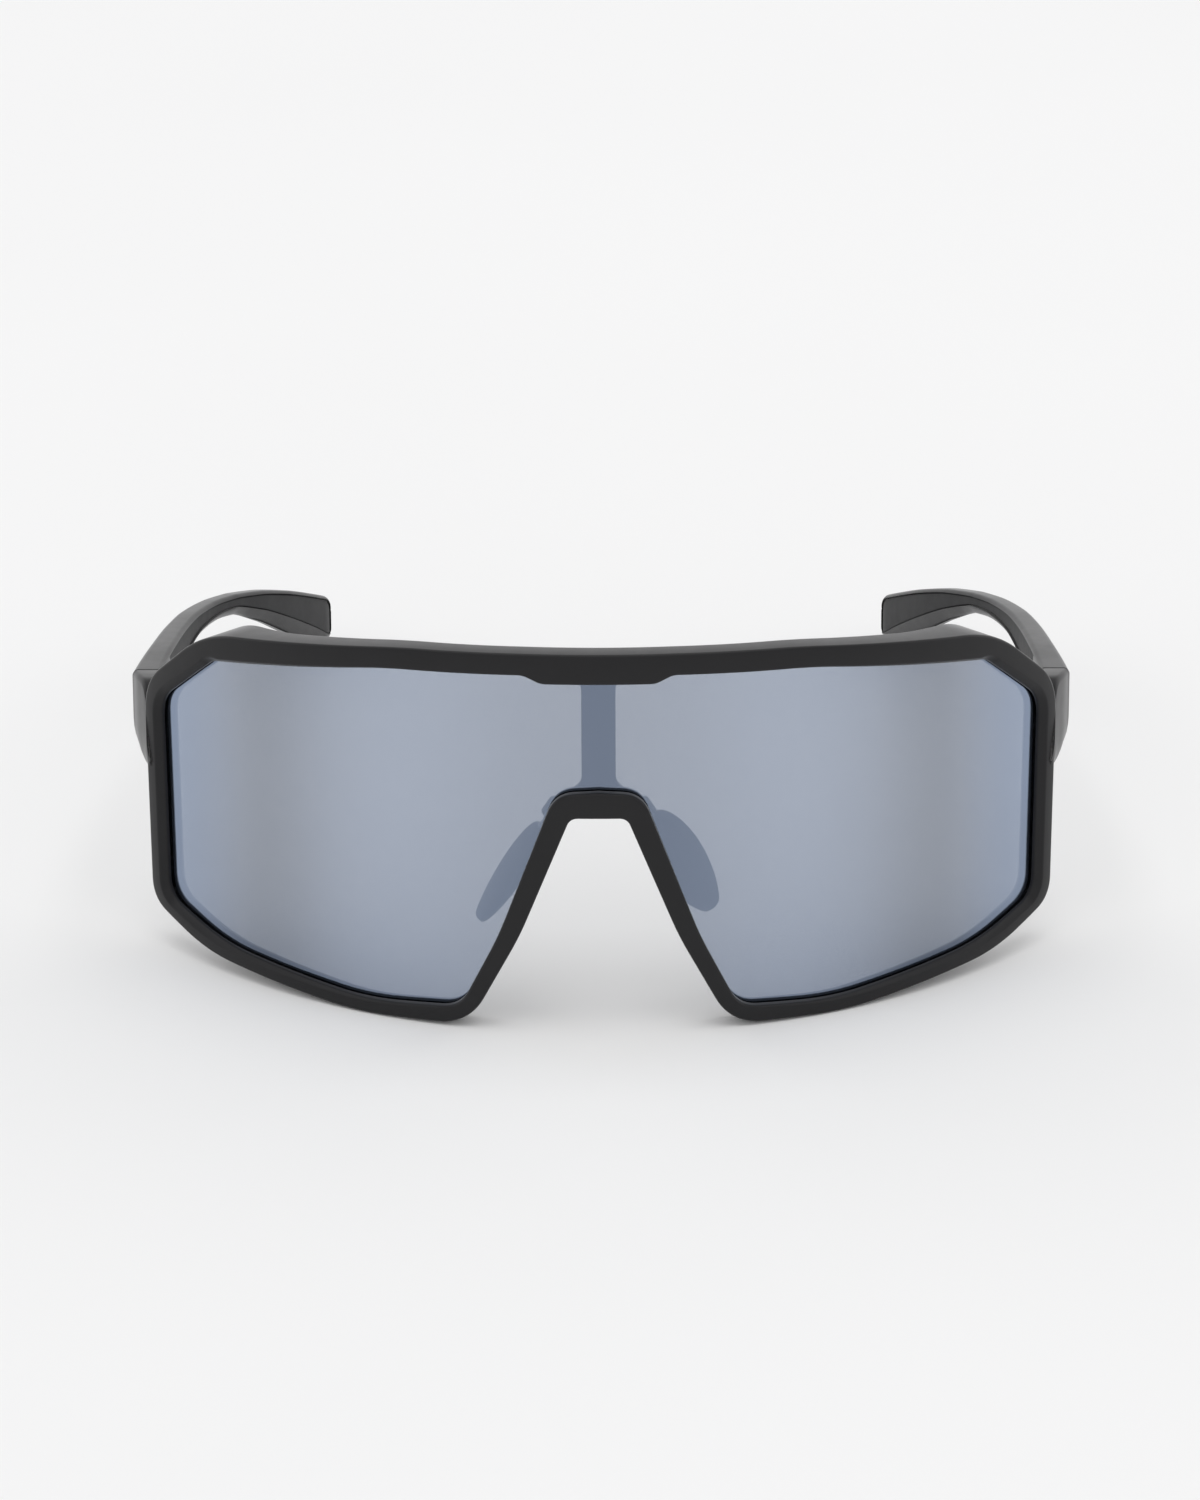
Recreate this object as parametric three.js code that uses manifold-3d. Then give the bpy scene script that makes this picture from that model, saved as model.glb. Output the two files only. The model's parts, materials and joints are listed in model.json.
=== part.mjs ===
// Wraparound shield sunglasses for sport: a full-rim front with one cylindrical shield lens,
// a nosepiece with two turning pads, and two folding temples with soft inner grips.
//
// Units are millimetres. Parts are modelled in the wearing frame: +X is the wearer's left,
// +Y runs from the lens to the ears, and +Z is up, with the origin on the lens's front centre.
// The last lines stand the finished glasses on their lower rims and temple tips, with the
// origin under the middle of the bounding box.

import * as THREE from "three";
import { mergeVertices } from "three/addons/utils/BufferGeometryUtils.js";
import Module from "manifold-3d";

const wasm = await Module();
wasm.setup();

// ---------------------------------------------------------------- driving dimensions

const DEGREE = Math.PI / 180;
const GAP = 0.3; // play between touching pieces

const WRAP_RADIUS = 94; // the lens's front surface, seen from above
const FRONT_TILT = 7 * DEGREE; // the bottom of the front leans towards the face
const STANDING_PITCH = 12.7 * DEGREE; // the temples slope down to the table by this much
const FOOT_TRIM = 0.25; // flats worn on the rims and tips where they stand

const LENS_THICKNESS = 1.4;
const LENS_BITE = 1.0; // how far the lens's edge reaches into its groove
const GROOVE_DEPTH = LENS_BITE + GAP;
const LIP = 1.8; // front lip, ahead of the lens
const RIM_BACK = { middle: 2.4, side: 3.4 }; // back of the rim, behind the lens's front surface
const RIM_BEVEL = { middle: 0.3, side: 1.0 }; // inside the front lip
const RIM_CHAMFER = 0.4;
const REAR_LIP = 0.35; // the upright part of the rim behind the lens, before it slopes outwards
const REAR_WALL = 0.9; // least thickness of the rim at its back
// The rim's back lies deeper by this much at the upper corners, where it runs into the lugs. It
// deepens between two arc lengths from the centre line, and between two heights.
const CROWN = { depth: 3.4, arc: [48, 68], height: [-4, 3] };
const RIM_STEP = 6.5; // longest straight step along the rim
const CORNER_STEPS = 3;

// Half of the rim, from the top centre to the middle of the nose bridge. Each corner holds
// [arc length from the centre line, height, how far its rounding reaches along both sides],
// once for the rim's outer edge and once for the lens opening.
const RIM_CORNERS = [
  { outer: [0, 15.3, 0], inner: [0, 10.6, 0] },
  { outer: [8.6, 15.3, 0.8], inner: [8.4, 10.6, 0.8] },
  { outer: [11.3, 15.3, 0.8], inner: [11.0, 11.9, 0.8] },
  { outer: [30, 15.1, 4], inner: [32, 11.6, 4] },
  { outer: [64, 12.2, 6], inner: [63.3, 7.7, 1.2] },
  { outer: [78.6, 1.2, 5], inner: [75.4, -0.9, 3] },
  { outer: [78.6, -34.7, 3.4], inner: [75.4, -33.6, 3.2] },
  { outer: [66, -40.3, 5], inner: [63, -38.4, 5] },
  { outer: [38, -44.4, 5], inner: [36.5, -42.3, 5] },
  { outer: [19.8, -44.4, 5], inner: [21.2, -41.7, 3] },
  { outer: [11.9, -29.6, 3], inner: [15.2, -29.8, 3] },
  { outer: [4.2, -10.4, 1.2], inner: [6.5, -6.7, 3] },
  { outer: [0, -10.4, 0], inner: [0, -6.3, 0] },
];

// Ribs across the lugs, which carry the hinges behind the rim's upper corners, and across the
// temples: [y, outer x, bottom z, top z, thickness, belly]. The belly is how far the rounding of
// the lower outer edge reaches up.
const LUG_RIBS = [
  [29.9, 70.9, -8.2, 2.2, 1.3, 3.5],
  [30.9, 71.6, -9.8, 3.8, 2.4, 5],
  [32.4, 72.5, -10.4, 4.6, 4.2, 6],
  [35.0, 73.4, -10.0, 4.8, 4.6, 6],
  [39.0, 73.9, -8.8, 4.8, 4.7, 6],
];
const TEMPLE_RIBS = [
  [39.3, 73.9, -8.8, 4.8, 4.7, 6],
  [46.5, 73.8, -7.0, 5.0, 4.5, 5],
  [57, 73.4, -3.2, 5.4, 4.2, 3.2],
  [75, 72.7, 0.3, 5.6, 3.9, 2],
  [88, 71.4, 1.7, 5.7, 3.7, 1.4],
  [99, 69.3, 1.9, 5.5, 3.5, 1.2],
  [108, 66.5, 1.4, 5.1, 3.4, 1.4],
  [118, 62.7, -1.6, 4.0, 3.3, 2],
  [129, 58.8, -5.8, 2.0, 3.2, 2.4],
  [140, 55.6, -10.0, -0.5, 3.2, 2.6],
  [150, 53.2, -14.2, -2.9, 3.3, 2.8],
];
const TEMPLE_STEPS = 30;
const EDGE_ROUND = 0.9; // along the three edges of a lug or temple that have no belly
const BELLY_STEPS = 4;
const BELLY_SHARE = 0.6; // of the thickness, the most that the belly's rounding takes
const TIP_ROUND = 4.5;
// Below the soft grip a temple's inner face slopes outwards, from nothing at one depth to its
// full rise, as a share of the temple's height, at another.
const SLOPE = { depth: [75, 125], rise: 0.28, across: 0.4 };

const GRIP_START = 0.15; // where the soft grip begins, as a share of the temple's ribs
const GRIP_END = 0.992;
const GRIP_SUNK = 0.35; // how far the grip lies below the hard plastic round it
const GRIP_THICKNESS = 0.9;
const GRIP_MARGIN = 0.6; // hard plastic left above and below the grip

const HINGE_X = 68.9;
const HINGE_Y = 39.15;
const HINGE_Z = -1.9;
const KNUCKLE_RADIUS = 1.5;
const KNUCKLE_HEIGHT = 1.2;
const KNUCKLE_GAP = 0.2;
const KNUCKLES = 5; // odd ones from the top belong to the front
const BARREL_HEIGHT = KNUCKLES * KNUCKLE_HEIGHT + (KNUCKLES - 1) * KNUCKLE_GAP;
const PIN_RADIUS = 0.65;
const PIN_BORE = PIN_RADIUS + GAP;
const PIN_HEAD = { radius: 1.25, height: 0.7 };
const LEAF_THICKNESS = 0.8;
const LEAF_LENGTH = 6.2;
const LEAF_FACE = HINGE_X + GAP; // the leaf lies flush with the lug's inner face
const BARREL_ROOM = KNUCKLE_RADIUS + 0.4;
const LEAF_SCREW = { shank: 0.45, head: 0.95, headHeight: 0.45, length: 2.6, rise: 1.8, reach: 4.0 };

const CARRIER_FRONT = RIM_BACK.middle + GAP; // behind the lens's front surface
const CARRIER_THICKNESS = 2.0;
// Half of the nosepiece carrier: [distance from the centre line, height, rounding reach].
const CARRIER_CORNERS = [
  [0, 13.8, 0],
  [5.6, 13.8, 0.9],
  [5.6, 11.6, 0.9],
  [2.65, 9.6, 1.3],
  [2.65, -6.4, 1.2],
  [4.5, -7.8, 1.0],
  [7.1, -9.7, 1.0],
  [8.9, -12.2, 0.6],
  [7.3, -13.5, 0.6],
  [4.1, -10.9, 1.2],
  [0, -9.8, 0],
];
const CARRIER_SCREW = { shank: 0.5, head: 1.0, headHeight: 0.5, length: 4.0, rows: { upper: 12.8, lower: -8.4 } };

const PAD_PIVOT = new THREE.Vector3(7.5, 6.3, -12.6); // in the front's own tilted frame
const PAD_AXIS = new THREE.Vector3(0.51, 0.19, -0.84).normalize();
const PAD_FACING = new THREE.Vector3(-0.78, 0.6, -0.25); // towards the side of the nose
const PAD_LENGTH = 18.4;
const PAD_WIDTH = 8.6;
const PAD_THICKNESS = 2.9;
// The pads turn on their wires. As worn, the left one stands a little more open than the right
// one, and the right one has slid further out along its wire.
const PAD_TURN = { left: 20 * DEGREE, right: -24 * DEGREE };
const PAD_START = { left: 0.6, right: 2.8 };
const WIRE_RADIUS = 0.6;
const WIRE_IN_BOSS = 2.0;
const WIRE_IN_PAD = 8;
const BOSS = { radius: 1.5, length: 2.8 };

// ---------------------------------------------------------------- materials

const plastic = (color, roughness) => new THREE.MeshStandardMaterial({ color, roughness, metalness: 0 });
const steel = (color, roughness) => new THREE.MeshStandardMaterial({ color, roughness, metalness: 1 });

const MATERIALS = {
  satinBlack: plastic("#2b2b2e", 0.55),
  softGrip: plastic("#3a3a3c", 0.85),
  silicone: plastic("#33363a", 0.7),
  mirrorLens: new THREE.MeshStandardMaterial({
    color: "#96a3b5",
    roughness: 0.08,
    metalness: 0.9,
    transparent: true,
    opacity: 0.8,
    side: THREE.DoubleSide,
  }),
  hingeSteel: steel("#4b4c50", 0.35),
  screwSteel: steel("#8d9096", 0.25),
  wireSteel: steel("#a8a9ac", 0.3),
};

// ---------------------------------------------------------------- solids

// The signed volume of an indexed triangle list, which is negative when its faces point inwards.
function signedVolume(points, triangles) {
  let six = 0;
  for (const [a, b, c] of triangles) {
    six += points[a].dot(new THREE.Vector3().crossVectors(points[b], points[c]));
  }
  return six / 6;
}

function geometryOf(points, triangles) {
  const outward = signedVolume(points, triangles) > 0;
  const faces = outward ? triangles : triangles.map(([a, b, c]) => [a, c, b]);
  return new THREE.BufferGeometry()
    .setAttribute("position", new THREE.Float32BufferAttribute(points.flatMap((p) => p.toArray()), 3))
    .setIndex(faces.flat());
}

// Two triangles for each cell of a grid of rows, wrapping round in one or both directions.
function gridTriangles(rows, columns, closeRows) {
  const triangles = [];
  const lastRow = closeRows ? rows : rows - 1;
  for (let i = 0; i < lastRow; i++) {
    for (let j = 0; j < columns; j++) {
      const [a, b] = [i * columns + j, i * columns + ((j + 1) % columns)];
      const [c, d] = [((i + 1) % rows) * columns + ((j + 1) % columns), ((i + 1) % rows) * columns + j];
      triangles.push([a, b, c], [a, c, d]);
    }
  }
  return triangles;
}

// A closed loop of sections, such as a rim.
function ring(sections) {
  return geometryOf(sections.flat(), gridTriangles(sections.length, sections[0].length, true));
}

// A row of convex sections with a flat cap on each end.
function loft(sections) {
  const columns = sections[0].length;
  const triangles = gridTriangles(sections.length, columns, false);
  const last = (sections.length - 1) * columns;
  for (let j = 1; j < columns - 1; j++) {
    triangles.push([0, j + 1, j], [last, last + j, last + j + 1]);
  }
  return geometryOf(sections.flat(), triangles);
}

// The geometry's positions alone, with points in the same place made one.
function weld(geometry) {
  const bare = new THREE.BufferGeometry().setAttribute("position", geometry.getAttribute("position"));
  if (geometry.index) bare.setIndex(geometry.index);
  return mergeVertices(bare, 1e-4);
}

function manifoldOf(geometry) {
  const welded = weld(geometry);
  return new wasm.Manifold(
    new wasm.Mesh({
      numProp: 3,
      vertProperties: new Float32Array(welded.getAttribute("position").array),
      triVerts: new Uint32Array(welded.index.array),
    }),
  );
}

function geometryFrom(solid) {
  const made = solid.getMesh();
  return new THREE.BufferGeometry()
    .setAttribute("position", new THREE.BufferAttribute(new Float32Array(made.vertProperties), 3))
    .setIndex(new THREE.BufferAttribute(new Uint32Array(made.triVerts), 1));
}

// base, with the shapes in added joined on and those in cut taken away.
function carve(base, { added = [], cut = [] }) {
  const joined = added.reduce((solid, shape) => solid.add(manifoldOf(shape)), manifoldOf(base));
  return geometryFrom(cut.reduce((solid, shape) => solid.subtract(manifoldOf(shape)), joined));
}

// A box between two corners.
function block([x0, y0, z0], [x1, y1, z1]) {
  const size = [x1 - x0, y1 - y0, z1 - z0];
  return new THREE.BoxGeometry(...size).translate((x0 + x1) / 2, (y0 + y1) / 2, (z0 + z1) / 2);
}

// A cylinder along Z between two heights.
function post(x, y, z0, z1, radius, segments = 20) {
  const made = new THREE.CylinderGeometry(radius, radius, z1 - z0, segments).rotateX(Math.PI / 2);
  return made.translate(x, y, (z0 + z1) / 2);
}

// A cylinder from start, length long, along a direction.
function rod(start, direction, length, radius, segments = 14) {
  const made = new THREE.CylinderGeometry(radius, radius, length, segments).translate(0, length / 2, 0);
  const turn = new THREE.Quaternion().setFromUnitVectors(new THREE.Vector3(0, 1, 0), direction);
  return made.applyQuaternion(turn).translate(start.x, start.y, start.z);
}

// The same shape on the other side of the middle plane, with its faces still pointing out.
function mirrored(geometry) {
  const made = weld(geometry).scale(-1, 1, 1);
  const index = made.index.array;
  for (let i = 0; i < index.length; i += 3) {
    [index[i + 1], index[i + 2]] = [index[i + 2], index[i + 1]];
  }
  return made;
}

// A screw whose head's underside is at the origin and whose shank runs along -Y, with a slotted head.
function screw({ shank, head, headHeight, length }) {
  const profile = [
    [0, -length],
    [shank * 0.6, -length],
    [shank, -length + shank],
    [shank, 0],
    [head, 0],
    [head, headHeight * 0.6],
    [head * 0.75, headHeight],
    [0, headHeight],
  ];
  const turned = new THREE.LatheGeometry(profile.map(([x, y]) => new THREE.Vector2(x, y)), 16);
  const slot = block([-head * 2, headHeight * 0.55, -head * 0.14], [head * 2, headHeight * 2, head * 0.14]);
  return carve(turned, { cut: [slot] });
}

// ---------------------------------------------------------------- the front's outline

// Points on a rounded chain of corners. Chains with as many corners get points in the same places,
// so two of them can be joined section by section.
function chainPoints(corners, edgeSteps) {
  const at = corners.map(([u, w]) => new THREE.Vector2(u, w));
  const cutBefore = (i) => at[i].clone().lerp(at[i - 1], corners[i][2] / at[i].distanceTo(at[i - 1]));
  const cutAfter = (i) => at[i].clone().lerp(at[i + 1], corners[i][2] / at[i].distanceTo(at[i + 1]));
  const points = [at[0]];
  for (let i = 1; i < at.length; i++) {
    const isLast = i === at.length - 1;
    const from = points[points.length - 1];
    const to = isLast ? at[i] : cutBefore(i);
    for (let k = 1; k <= edgeSteps[i - 1]; k++) points.push(from.clone().lerp(to, k / edgeSteps[i - 1]));
    if (isLast) break;
    const bend = new THREE.QuadraticBezierCurve(to, at[i], cutAfter(i));
    points.push(...bend.getPoints(CORNER_STEPS).slice(1));
  }
  return points;
}

// Half a chain, from one point on the middle plane to another, made whole by its mirror image.
function wholeLoop(half) {
  const mirror = half.slice(1, -1).reverse();
  return [...half, ...mirror.map((p) => new THREE.Vector2(-p.x, p.y))];
}

const edgeSteps = RIM_CORNERS.slice(1).map(({ outer }, i) => {
  const before = RIM_CORNERS[i].outer;
  return Math.max(1, Math.round(Math.hypot(outer[0] - before[0], outer[1] - before[1]) / RIM_STEP));
});
const rimOuter = wholeLoop(chainPoints(RIM_CORNERS.map((c) => c.outer), edgeSteps));
const rimInner = wholeLoop(chainPoints(RIM_CORNERS.map((c) => c.inner), edgeSteps));

// A point of the wrapped front: arc length u along the lens, height w, and depth behind its surface.
function wrapPoint(u, w, depth) {
  const angle = u / WRAP_RADIUS;
  const radius = WRAP_RADIUS - depth;
  return new THREE.Vector3(radius * Math.sin(angle), WRAP_RADIUS - radius * Math.cos(angle), w);
}

// A flat shape drawn in arc length and height, with its depth along Z, bent round the wrap.
function wrapped(geometry) {
  const flat = weld(geometry);
  const place = flat.getAttribute("position");
  const points = Array.from({ length: place.count }, (_, i) => {
    return wrapPoint(place.getX(i), place.getY(i), place.getZ(i));
  });
  const index = Array.from(flat.index.array);
  return geometryOf(points, index.flatMap((a, i) => (i % 3 ? [] : [index.slice(i, i + 3)])));
}

// The rim's back lies deeper, and the bevel inside its front lip is wider, at the sides than in
// the middle.
function alongRim({ middle, side }, u) {
  return THREE.MathUtils.lerp(middle, side, THREE.MathUtils.smoothstep(Math.abs(u), 20, 70));
}

function rimBack({ x, y }) {
  const outwards = THREE.MathUtils.smoothstep(Math.abs(x), ...CROWN.arc);
  const upwards = THREE.MathUtils.smoothstep(y, ...CROWN.height);
  return alongRim(RIM_BACK, x) + CROWN.depth * outwards * upwards;
}

// One rim section: [share of the way from the lens opening to the outer edge, shift, depth]. Behind
// the lens the rim slopes outwards as steeply as the front is turned there, so that it doesn't show
// in the opening.
function rimProfile(outer, width) {
  const back = rimBack(outer);
  const bevel = alongRim(RIM_BEVEL, outer.x);
  const groove = [-GAP, LENS_THICKNESS + GAP];
  const rearLip = groove[1] + REAR_LIP;
  const slope = (back - rearLip) * Math.tan(Math.abs(outer.x) / WRAP_RADIUS);
  const undercut = THREE.MathUtils.clamp(slope, RIM_CHAMFER, width - REAR_WALL);
  return [
    [0, bevel, -LIP],
    [1, -RIM_CHAMFER, -LIP],
    [1, 0, RIM_CHAMFER - LIP],
    [1, 0, back - RIM_CHAMFER],
    [1, -RIM_CHAMFER, back],
    [0, undercut, back],
    [0, 0, rearLip],
    [0, 0, groove[1]],
    [0, GROOVE_DEPTH, groove[1]],
    [0, GROOVE_DEPTH, groove[0]],
    [0, 0, groove[0]],
    [0, 0, bevel - LIP],
  ];
}

function rimShape() {
  const sections = rimOuter.map((outer, i) => {
    const inner = rimInner[i];
    const width = outer.distanceTo(inner);
    return rimProfile(outer, width).map(([share, shift, depth]) => {
      const p = inner.clone().lerp(outer, share + shift / width);
      return wrapPoint(p.x, p.y, depth);
    });
  });
  return ring(sections).rotateX(FRONT_TILT);
}

// The heights at which a closed loop crosses the vertical line at u, lowest and highest.
function crossings(loop, u) {
  const found = [];
  loop.forEach((a, i) => {
    const b = loop[(i + 1) % loop.length];
    if ((a.x - u) * (b.x - u) <= 0 && a.x !== b.x) {
      found.push(THREE.MathUtils.lerp(a.y, b.y, (u - a.x) / (b.x - a.x)));
    }
  });
  return [Math.min(...found), Math.max(...found)];
}

// The lens fills its opening in upright columns, because its surface is straight from top to bottom.
function lensShape() {
  const edge = rimInner.map((inner, i) => {
    return inner.clone().lerp(rimOuter[i], LENS_BITE / inner.distanceTo(rimOuter[i]));
  });
  const reach = Math.max(...edge.map((p) => p.x)) - 0.15;
  const columns = [-reach, reach, ...edge.map((p) => p.x).filter((u) => Math.abs(u) < reach - 0.3)]
    .sort((a, b) => a - b)
    .filter((u, i, all) => i === 0 || u - all[i - 1] > 0.15);
  return loft(
    columns.map((u) => {
      const [low, high] = crossings(edge, u);
      return [
        wrapPoint(u, low, 0),
        wrapPoint(u, high, 0),
        wrapPoint(u, high, LENS_THICKNESS),
        wrapPoint(u, low, LENS_THICKNESS),
      ];
    }),
  ).rotateX(FRONT_TILT);
}

// ---------------------------------------------------------------- temples and lugs

// A rib: a rectangle from low to high across and from z0 to z1, with its edges cut off, its lower
// outer edge rounded, and its inner face sloping outwards from a rise of slope over the bottom. It
// stands at (x, y), turned by heading about the up axis.
function ribPoints({ x, y, z0, z1, low, high, edge, belly = edge, slope = 0, heading = 0 }) {
  const bellyAcross = Math.max(edge, Math.min(belly, BELLY_SHARE * (high - low)));
  const rounding = Array.from({ length: BELLY_STEPS + 1 }, (_, i) => {
    const angle = ((Math.PI / 2) * i) / BELLY_STEPS;
    return [high - bellyAcross * (1 - Math.sin(angle)), z0 + belly * (1 - Math.cos(angle))];
  });
  const corners = [
    [low + edge + SLOPE.across * slope, z0],
    ...rounding,
    [high, z1 - edge],
    [high - edge, z1],
    [low + edge, z1],
    [low, z1 - edge],
    [low, z0 + edge + slope],
  ];
  return corners.map(([across, z]) => {
    return new THREE.Vector3(x + across * Math.cos(heading), y + across * Math.sin(heading), z);
  });
}

function lugShape() {
  return loft(
    LUG_RIBS.map(([y, x, z0, z1, thickness, belly]) => {
      return ribPoints({ x, y, z0, z1, low: -thickness, high: 0, edge: EDGE_ROUND, belly });
    }),
  );
}

const templePlan = new THREE.CatmullRomCurve3(
  TEMPLE_RIBS.map(([y, x, , , thickness]) => new THREE.Vector3(x, y, thickness)),
);
const templeSide = new THREE.CatmullRomCurve3(
  TEMPLE_RIBS.map(([, , z0, z1, , belly]) => new THREE.Vector3(z0, z1, belly)),
);
const TIP_Y = TEMPLE_RIBS[TEMPLE_RIBS.length - 1][0];

// The temple's rib at a share t of its length. The first stretch is square to the hinge, so the
// heading only takes effect past the leaf. The heights draw together to round the tip.
function templeAt(t) {
  const { x, y, z: thickness } = templePlan.getPoint(t);
  const along = templePlan.getTangent(t);
  const { x: z0, y: z1, z: belly } = templeSide.getPoint(t);
  const past = THREE.MathUtils.smoothstep(y, HINGE_Y + LEAF_LENGTH, HINGE_Y + 2 * LEAF_LENGTH);
  const nearTip = THREE.MathUtils.clamp(1 - (TIP_Y - y) / TIP_ROUND, 0, 1);
  const tuck = 0.7 * TIP_ROUND * (1 - Math.sqrt(1 - nearTip ** 2));
  const heading = past * Math.atan2(-along.x, along.y);
  const slope = SLOPE.rise * (z1 - z0 - 2 * tuck) * THREE.MathUtils.smoothstep(y, ...SLOPE.depth);
  return { x, y, heading, z0: z0 + tuck, z1: z1 - tuck, thickness: thickness - 0.3 * tuck, belly, slope };
}

// The temple's ribs between two shares of its length, closer together towards the tip.
function templeRibs(t0, t1) {
  return Array.from({ length: TEMPLE_STEPS + 1 }, (_, i) => {
    const share = 1 - (1 - i / TEMPLE_STEPS) ** 1.6;
    return templeAt(THREE.MathUtils.lerp(t0, t1, share));
  });
}

// What lies between two sides of the temple, above the slope. sides gives the low and high side
// from the temple's thickness, and margin takes the section in from the slope and the top.
function templeStretch(t0, t1, sides, margin, edge) {
  return loft(
    templeRibs(t0, t1).map(({ x, y, heading, z0, z1, thickness, slope }) => {
      const [low, high] = sides(thickness);
      return ribPoints({ x, y, heading, low, high, edge, z0: z0 + slope + margin, z1: z1 - margin });
    }),
  );
}

function gripShape() {
  const sides = (thickness) => [GRIP_SUNK - thickness, GRIP_SUNK + GRIP_THICKNESS - thickness];
  return templeStretch(GRIP_START, GRIP_END, sides, GRIP_MARGIN + GAP, 0.25);
}

// The grip's bed: wider than the grip by the gap all round, and open on the inner side.
function gripBed() {
  const slack = 0.004;
  const floor = GRIP_SUNK + GRIP_THICKNESS + GAP;
  const sides = (thickness) => [-thickness - 2, floor - thickness];
  return templeStretch(GRIP_START - slack, GRIP_END + slack, sides, GRIP_MARGIN, 0.2);
}

function templeShape() {
  const ribs = templeRibs(0, 1).map((rib) => ({ ...rib, low: -rib.thickness, high: 0, edge: EDGE_ROUND }));
  const body = loft(ribs.map(ribPoints));
  return carve(body, { cut: [gripBed(), leafPocket(1), barrelRoom(), ...leafScrewHoles(1, GAP)] });
}

// ---------------------------------------------------------------- hinges

// Room for the knuckles, open downwards so that the screw can be put in from below.
function barrelRoom() {
  return post(HINGE_X, HINGE_Y, HINGE_Z - 12, HINGE_Z + BARREL_HEIGHT / 2 + 2 * GAP, BARREL_ROOM);
}

// The pocket that a leaf's plate lies in, on the lug's or the temple's inner face.
function leafPocket(towards) {
  const half = BARREL_HEIGHT / 2 + GAP;
  const ends = [HINGE_Y - towards, HINGE_Y + towards * (LEAF_LENGTH + GAP)];
  return block(
    [LEAF_FACE - 2, Math.min(...ends), HINGE_Z - half],
    [LEAF_FACE + LEAF_THICKNESS + GAP, Math.max(...ends), HINGE_Z + half],
  );
}

function knuckleSpan(i) {
  const top = HINGE_Z + BARREL_HEIGHT / 2 - i * (KNUCKLE_HEIGHT + KNUCKLE_GAP);
  return [top - KNUCKLE_HEIGHT, top];
}

// Where the two screws of a leaf sit. towards is -1 for the front leaf and 1 for the temple leaf.
function leafScrewPlaces(towards) {
  return [1, -1].map((row) => {
    return new THREE.Vector3(LEAF_FACE, HINGE_Y + towards * LEAF_SCREW.reach, HINGE_Z + row * LEAF_SCREW.rise);
  });
}

function leafScrewHoles(towards, room) {
  const outwards = new THREE.Vector3(1, 0, 0);
  return leafScrewPlaces(towards).map((at) => {
    const start = at.clone().sub(outwards);
    return rod(start, outwards, LEAF_SCREW.length + 1 + GAP, LEAF_SCREW.shank + room);
  });
}

// A hinge leaf: a plate with the knuckles of its own side.
function leafShape(towards) {
  const rootY = HINGE_Y + towards * BARREL_ROOM;
  const endY = HINGE_Y + towards * LEAF_LENGTH;
  const [y0, y1] = [Math.min(rootY, endY), Math.max(rootY, endY)];
  const half = BARREL_HEIGHT / 2;
  const plate = block([LEAF_FACE, y0, HINGE_Z - half], [LEAF_FACE + LEAF_THICKNESS, y1, HINGE_Z + half]);
  const own = Array.from({ length: KNUCKLES }, (_, i) => i).filter((i) => (i % 2 === 0) === towards < 0);
  const knuckles = own.flatMap((i) => {
    const [z0, z1] = knuckleSpan(i);
    const tabEnd = rootY + towards * 0.2;
    const tab = block(
      [LEAF_FACE, Math.min(HINGE_Y, tabEnd), z0],
      [LEAF_FACE + LEAF_THICKNESS, Math.max(HINGE_Y, tabEnd), z1],
    );
    return [post(HINGE_X, HINGE_Y, z0, z1, KNUCKLE_RADIUS), tab];
  });
  const bore = post(HINGE_X, HINGE_Y, HINGE_Z - BARREL_HEIGHT, HINGE_Z + BARREL_HEIGHT, PIN_BORE, 16);
  return carve(plate, { added: knuckles, cut: [bore, ...leafScrewHoles(towards, GAP)] });
}

function hingeScrewShape() {
  const bottom = HINGE_Z - BARREL_HEIGHT / 2 - 0.15;
  const size = {
    shank: PIN_RADIUS,
    head: PIN_HEAD.radius,
    headHeight: PIN_HEAD.height,
    length: BARREL_HEIGHT + 0.35,
  };
  return screw(size).rotateX(-Math.PI / 2).translate(HINGE_X, HINGE_Y, bottom);
}

function leafScrewShape(place) {
  return screw(LEAF_SCREW).rotateZ(Math.PI / 2).translate(place.x - 0.15, place.y, place.z);
}

// ---------------------------------------------------------------- nosepiece

const TILT_AXIS = new THREE.Vector3(1, 0, 0);
const inWearingFrame = (v) => v.clone().applyAxisAngle(TILT_AXIS, FRONT_TILT);

function carrierScrewPlace(height) {
  return wrapPoint(0, height, CARRIER_FRONT + CARRIER_THICKNESS + 0.15);
}

function carrierShape() {
  const steps = CARRIER_CORNERS.slice(1).map(() => 1);
  const outline = wholeLoop(chainPoints(CARRIER_CORNERS, steps));
  const plate = new THREE.ExtrudeGeometry(new THREE.Shape(outline), {
    depth: CARRIER_THICKNESS,
    bevelEnabled: false,
  });
  const bent = wrapped(plate.translate(0, 0, CARRIER_FRONT));
  const start = PAD_PIVOT.clone().addScaledVector(PAD_AXIS, -BOSS.length);
  const boss = rod(start, PAD_AXIS, BOSS.length, BOSS.radius);
  const socket = rod(PAD_PIVOT.clone().addScaledVector(PAD_AXIS, -WIRE_IN_BOSS - GAP), PAD_AXIS, 6, WIRE_RADIUS + GAP);
  const back = new THREE.Vector3(0, -1, 0);
  const holes = Object.values(CARRIER_SCREW.rows).map((height) => {
    const from = carrierScrewPlace(height);
    return rod(from.setY(from.y + 1), back, 6, CARRIER_SCREW.shank + GAP);
  });
  return carve(bent, {
    added: [boss, mirrored(boss)],
    cut: [socket, mirrored(socket), ...holes],
  }).rotateX(FRONT_TILT);
}

function carrierScrewShape(height) {
  const at = carrierScrewPlace(height);
  return screw(CARRIER_SCREW).translate(at.x, at.y, at.z).rotateX(FRONT_TILT);
}

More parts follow.
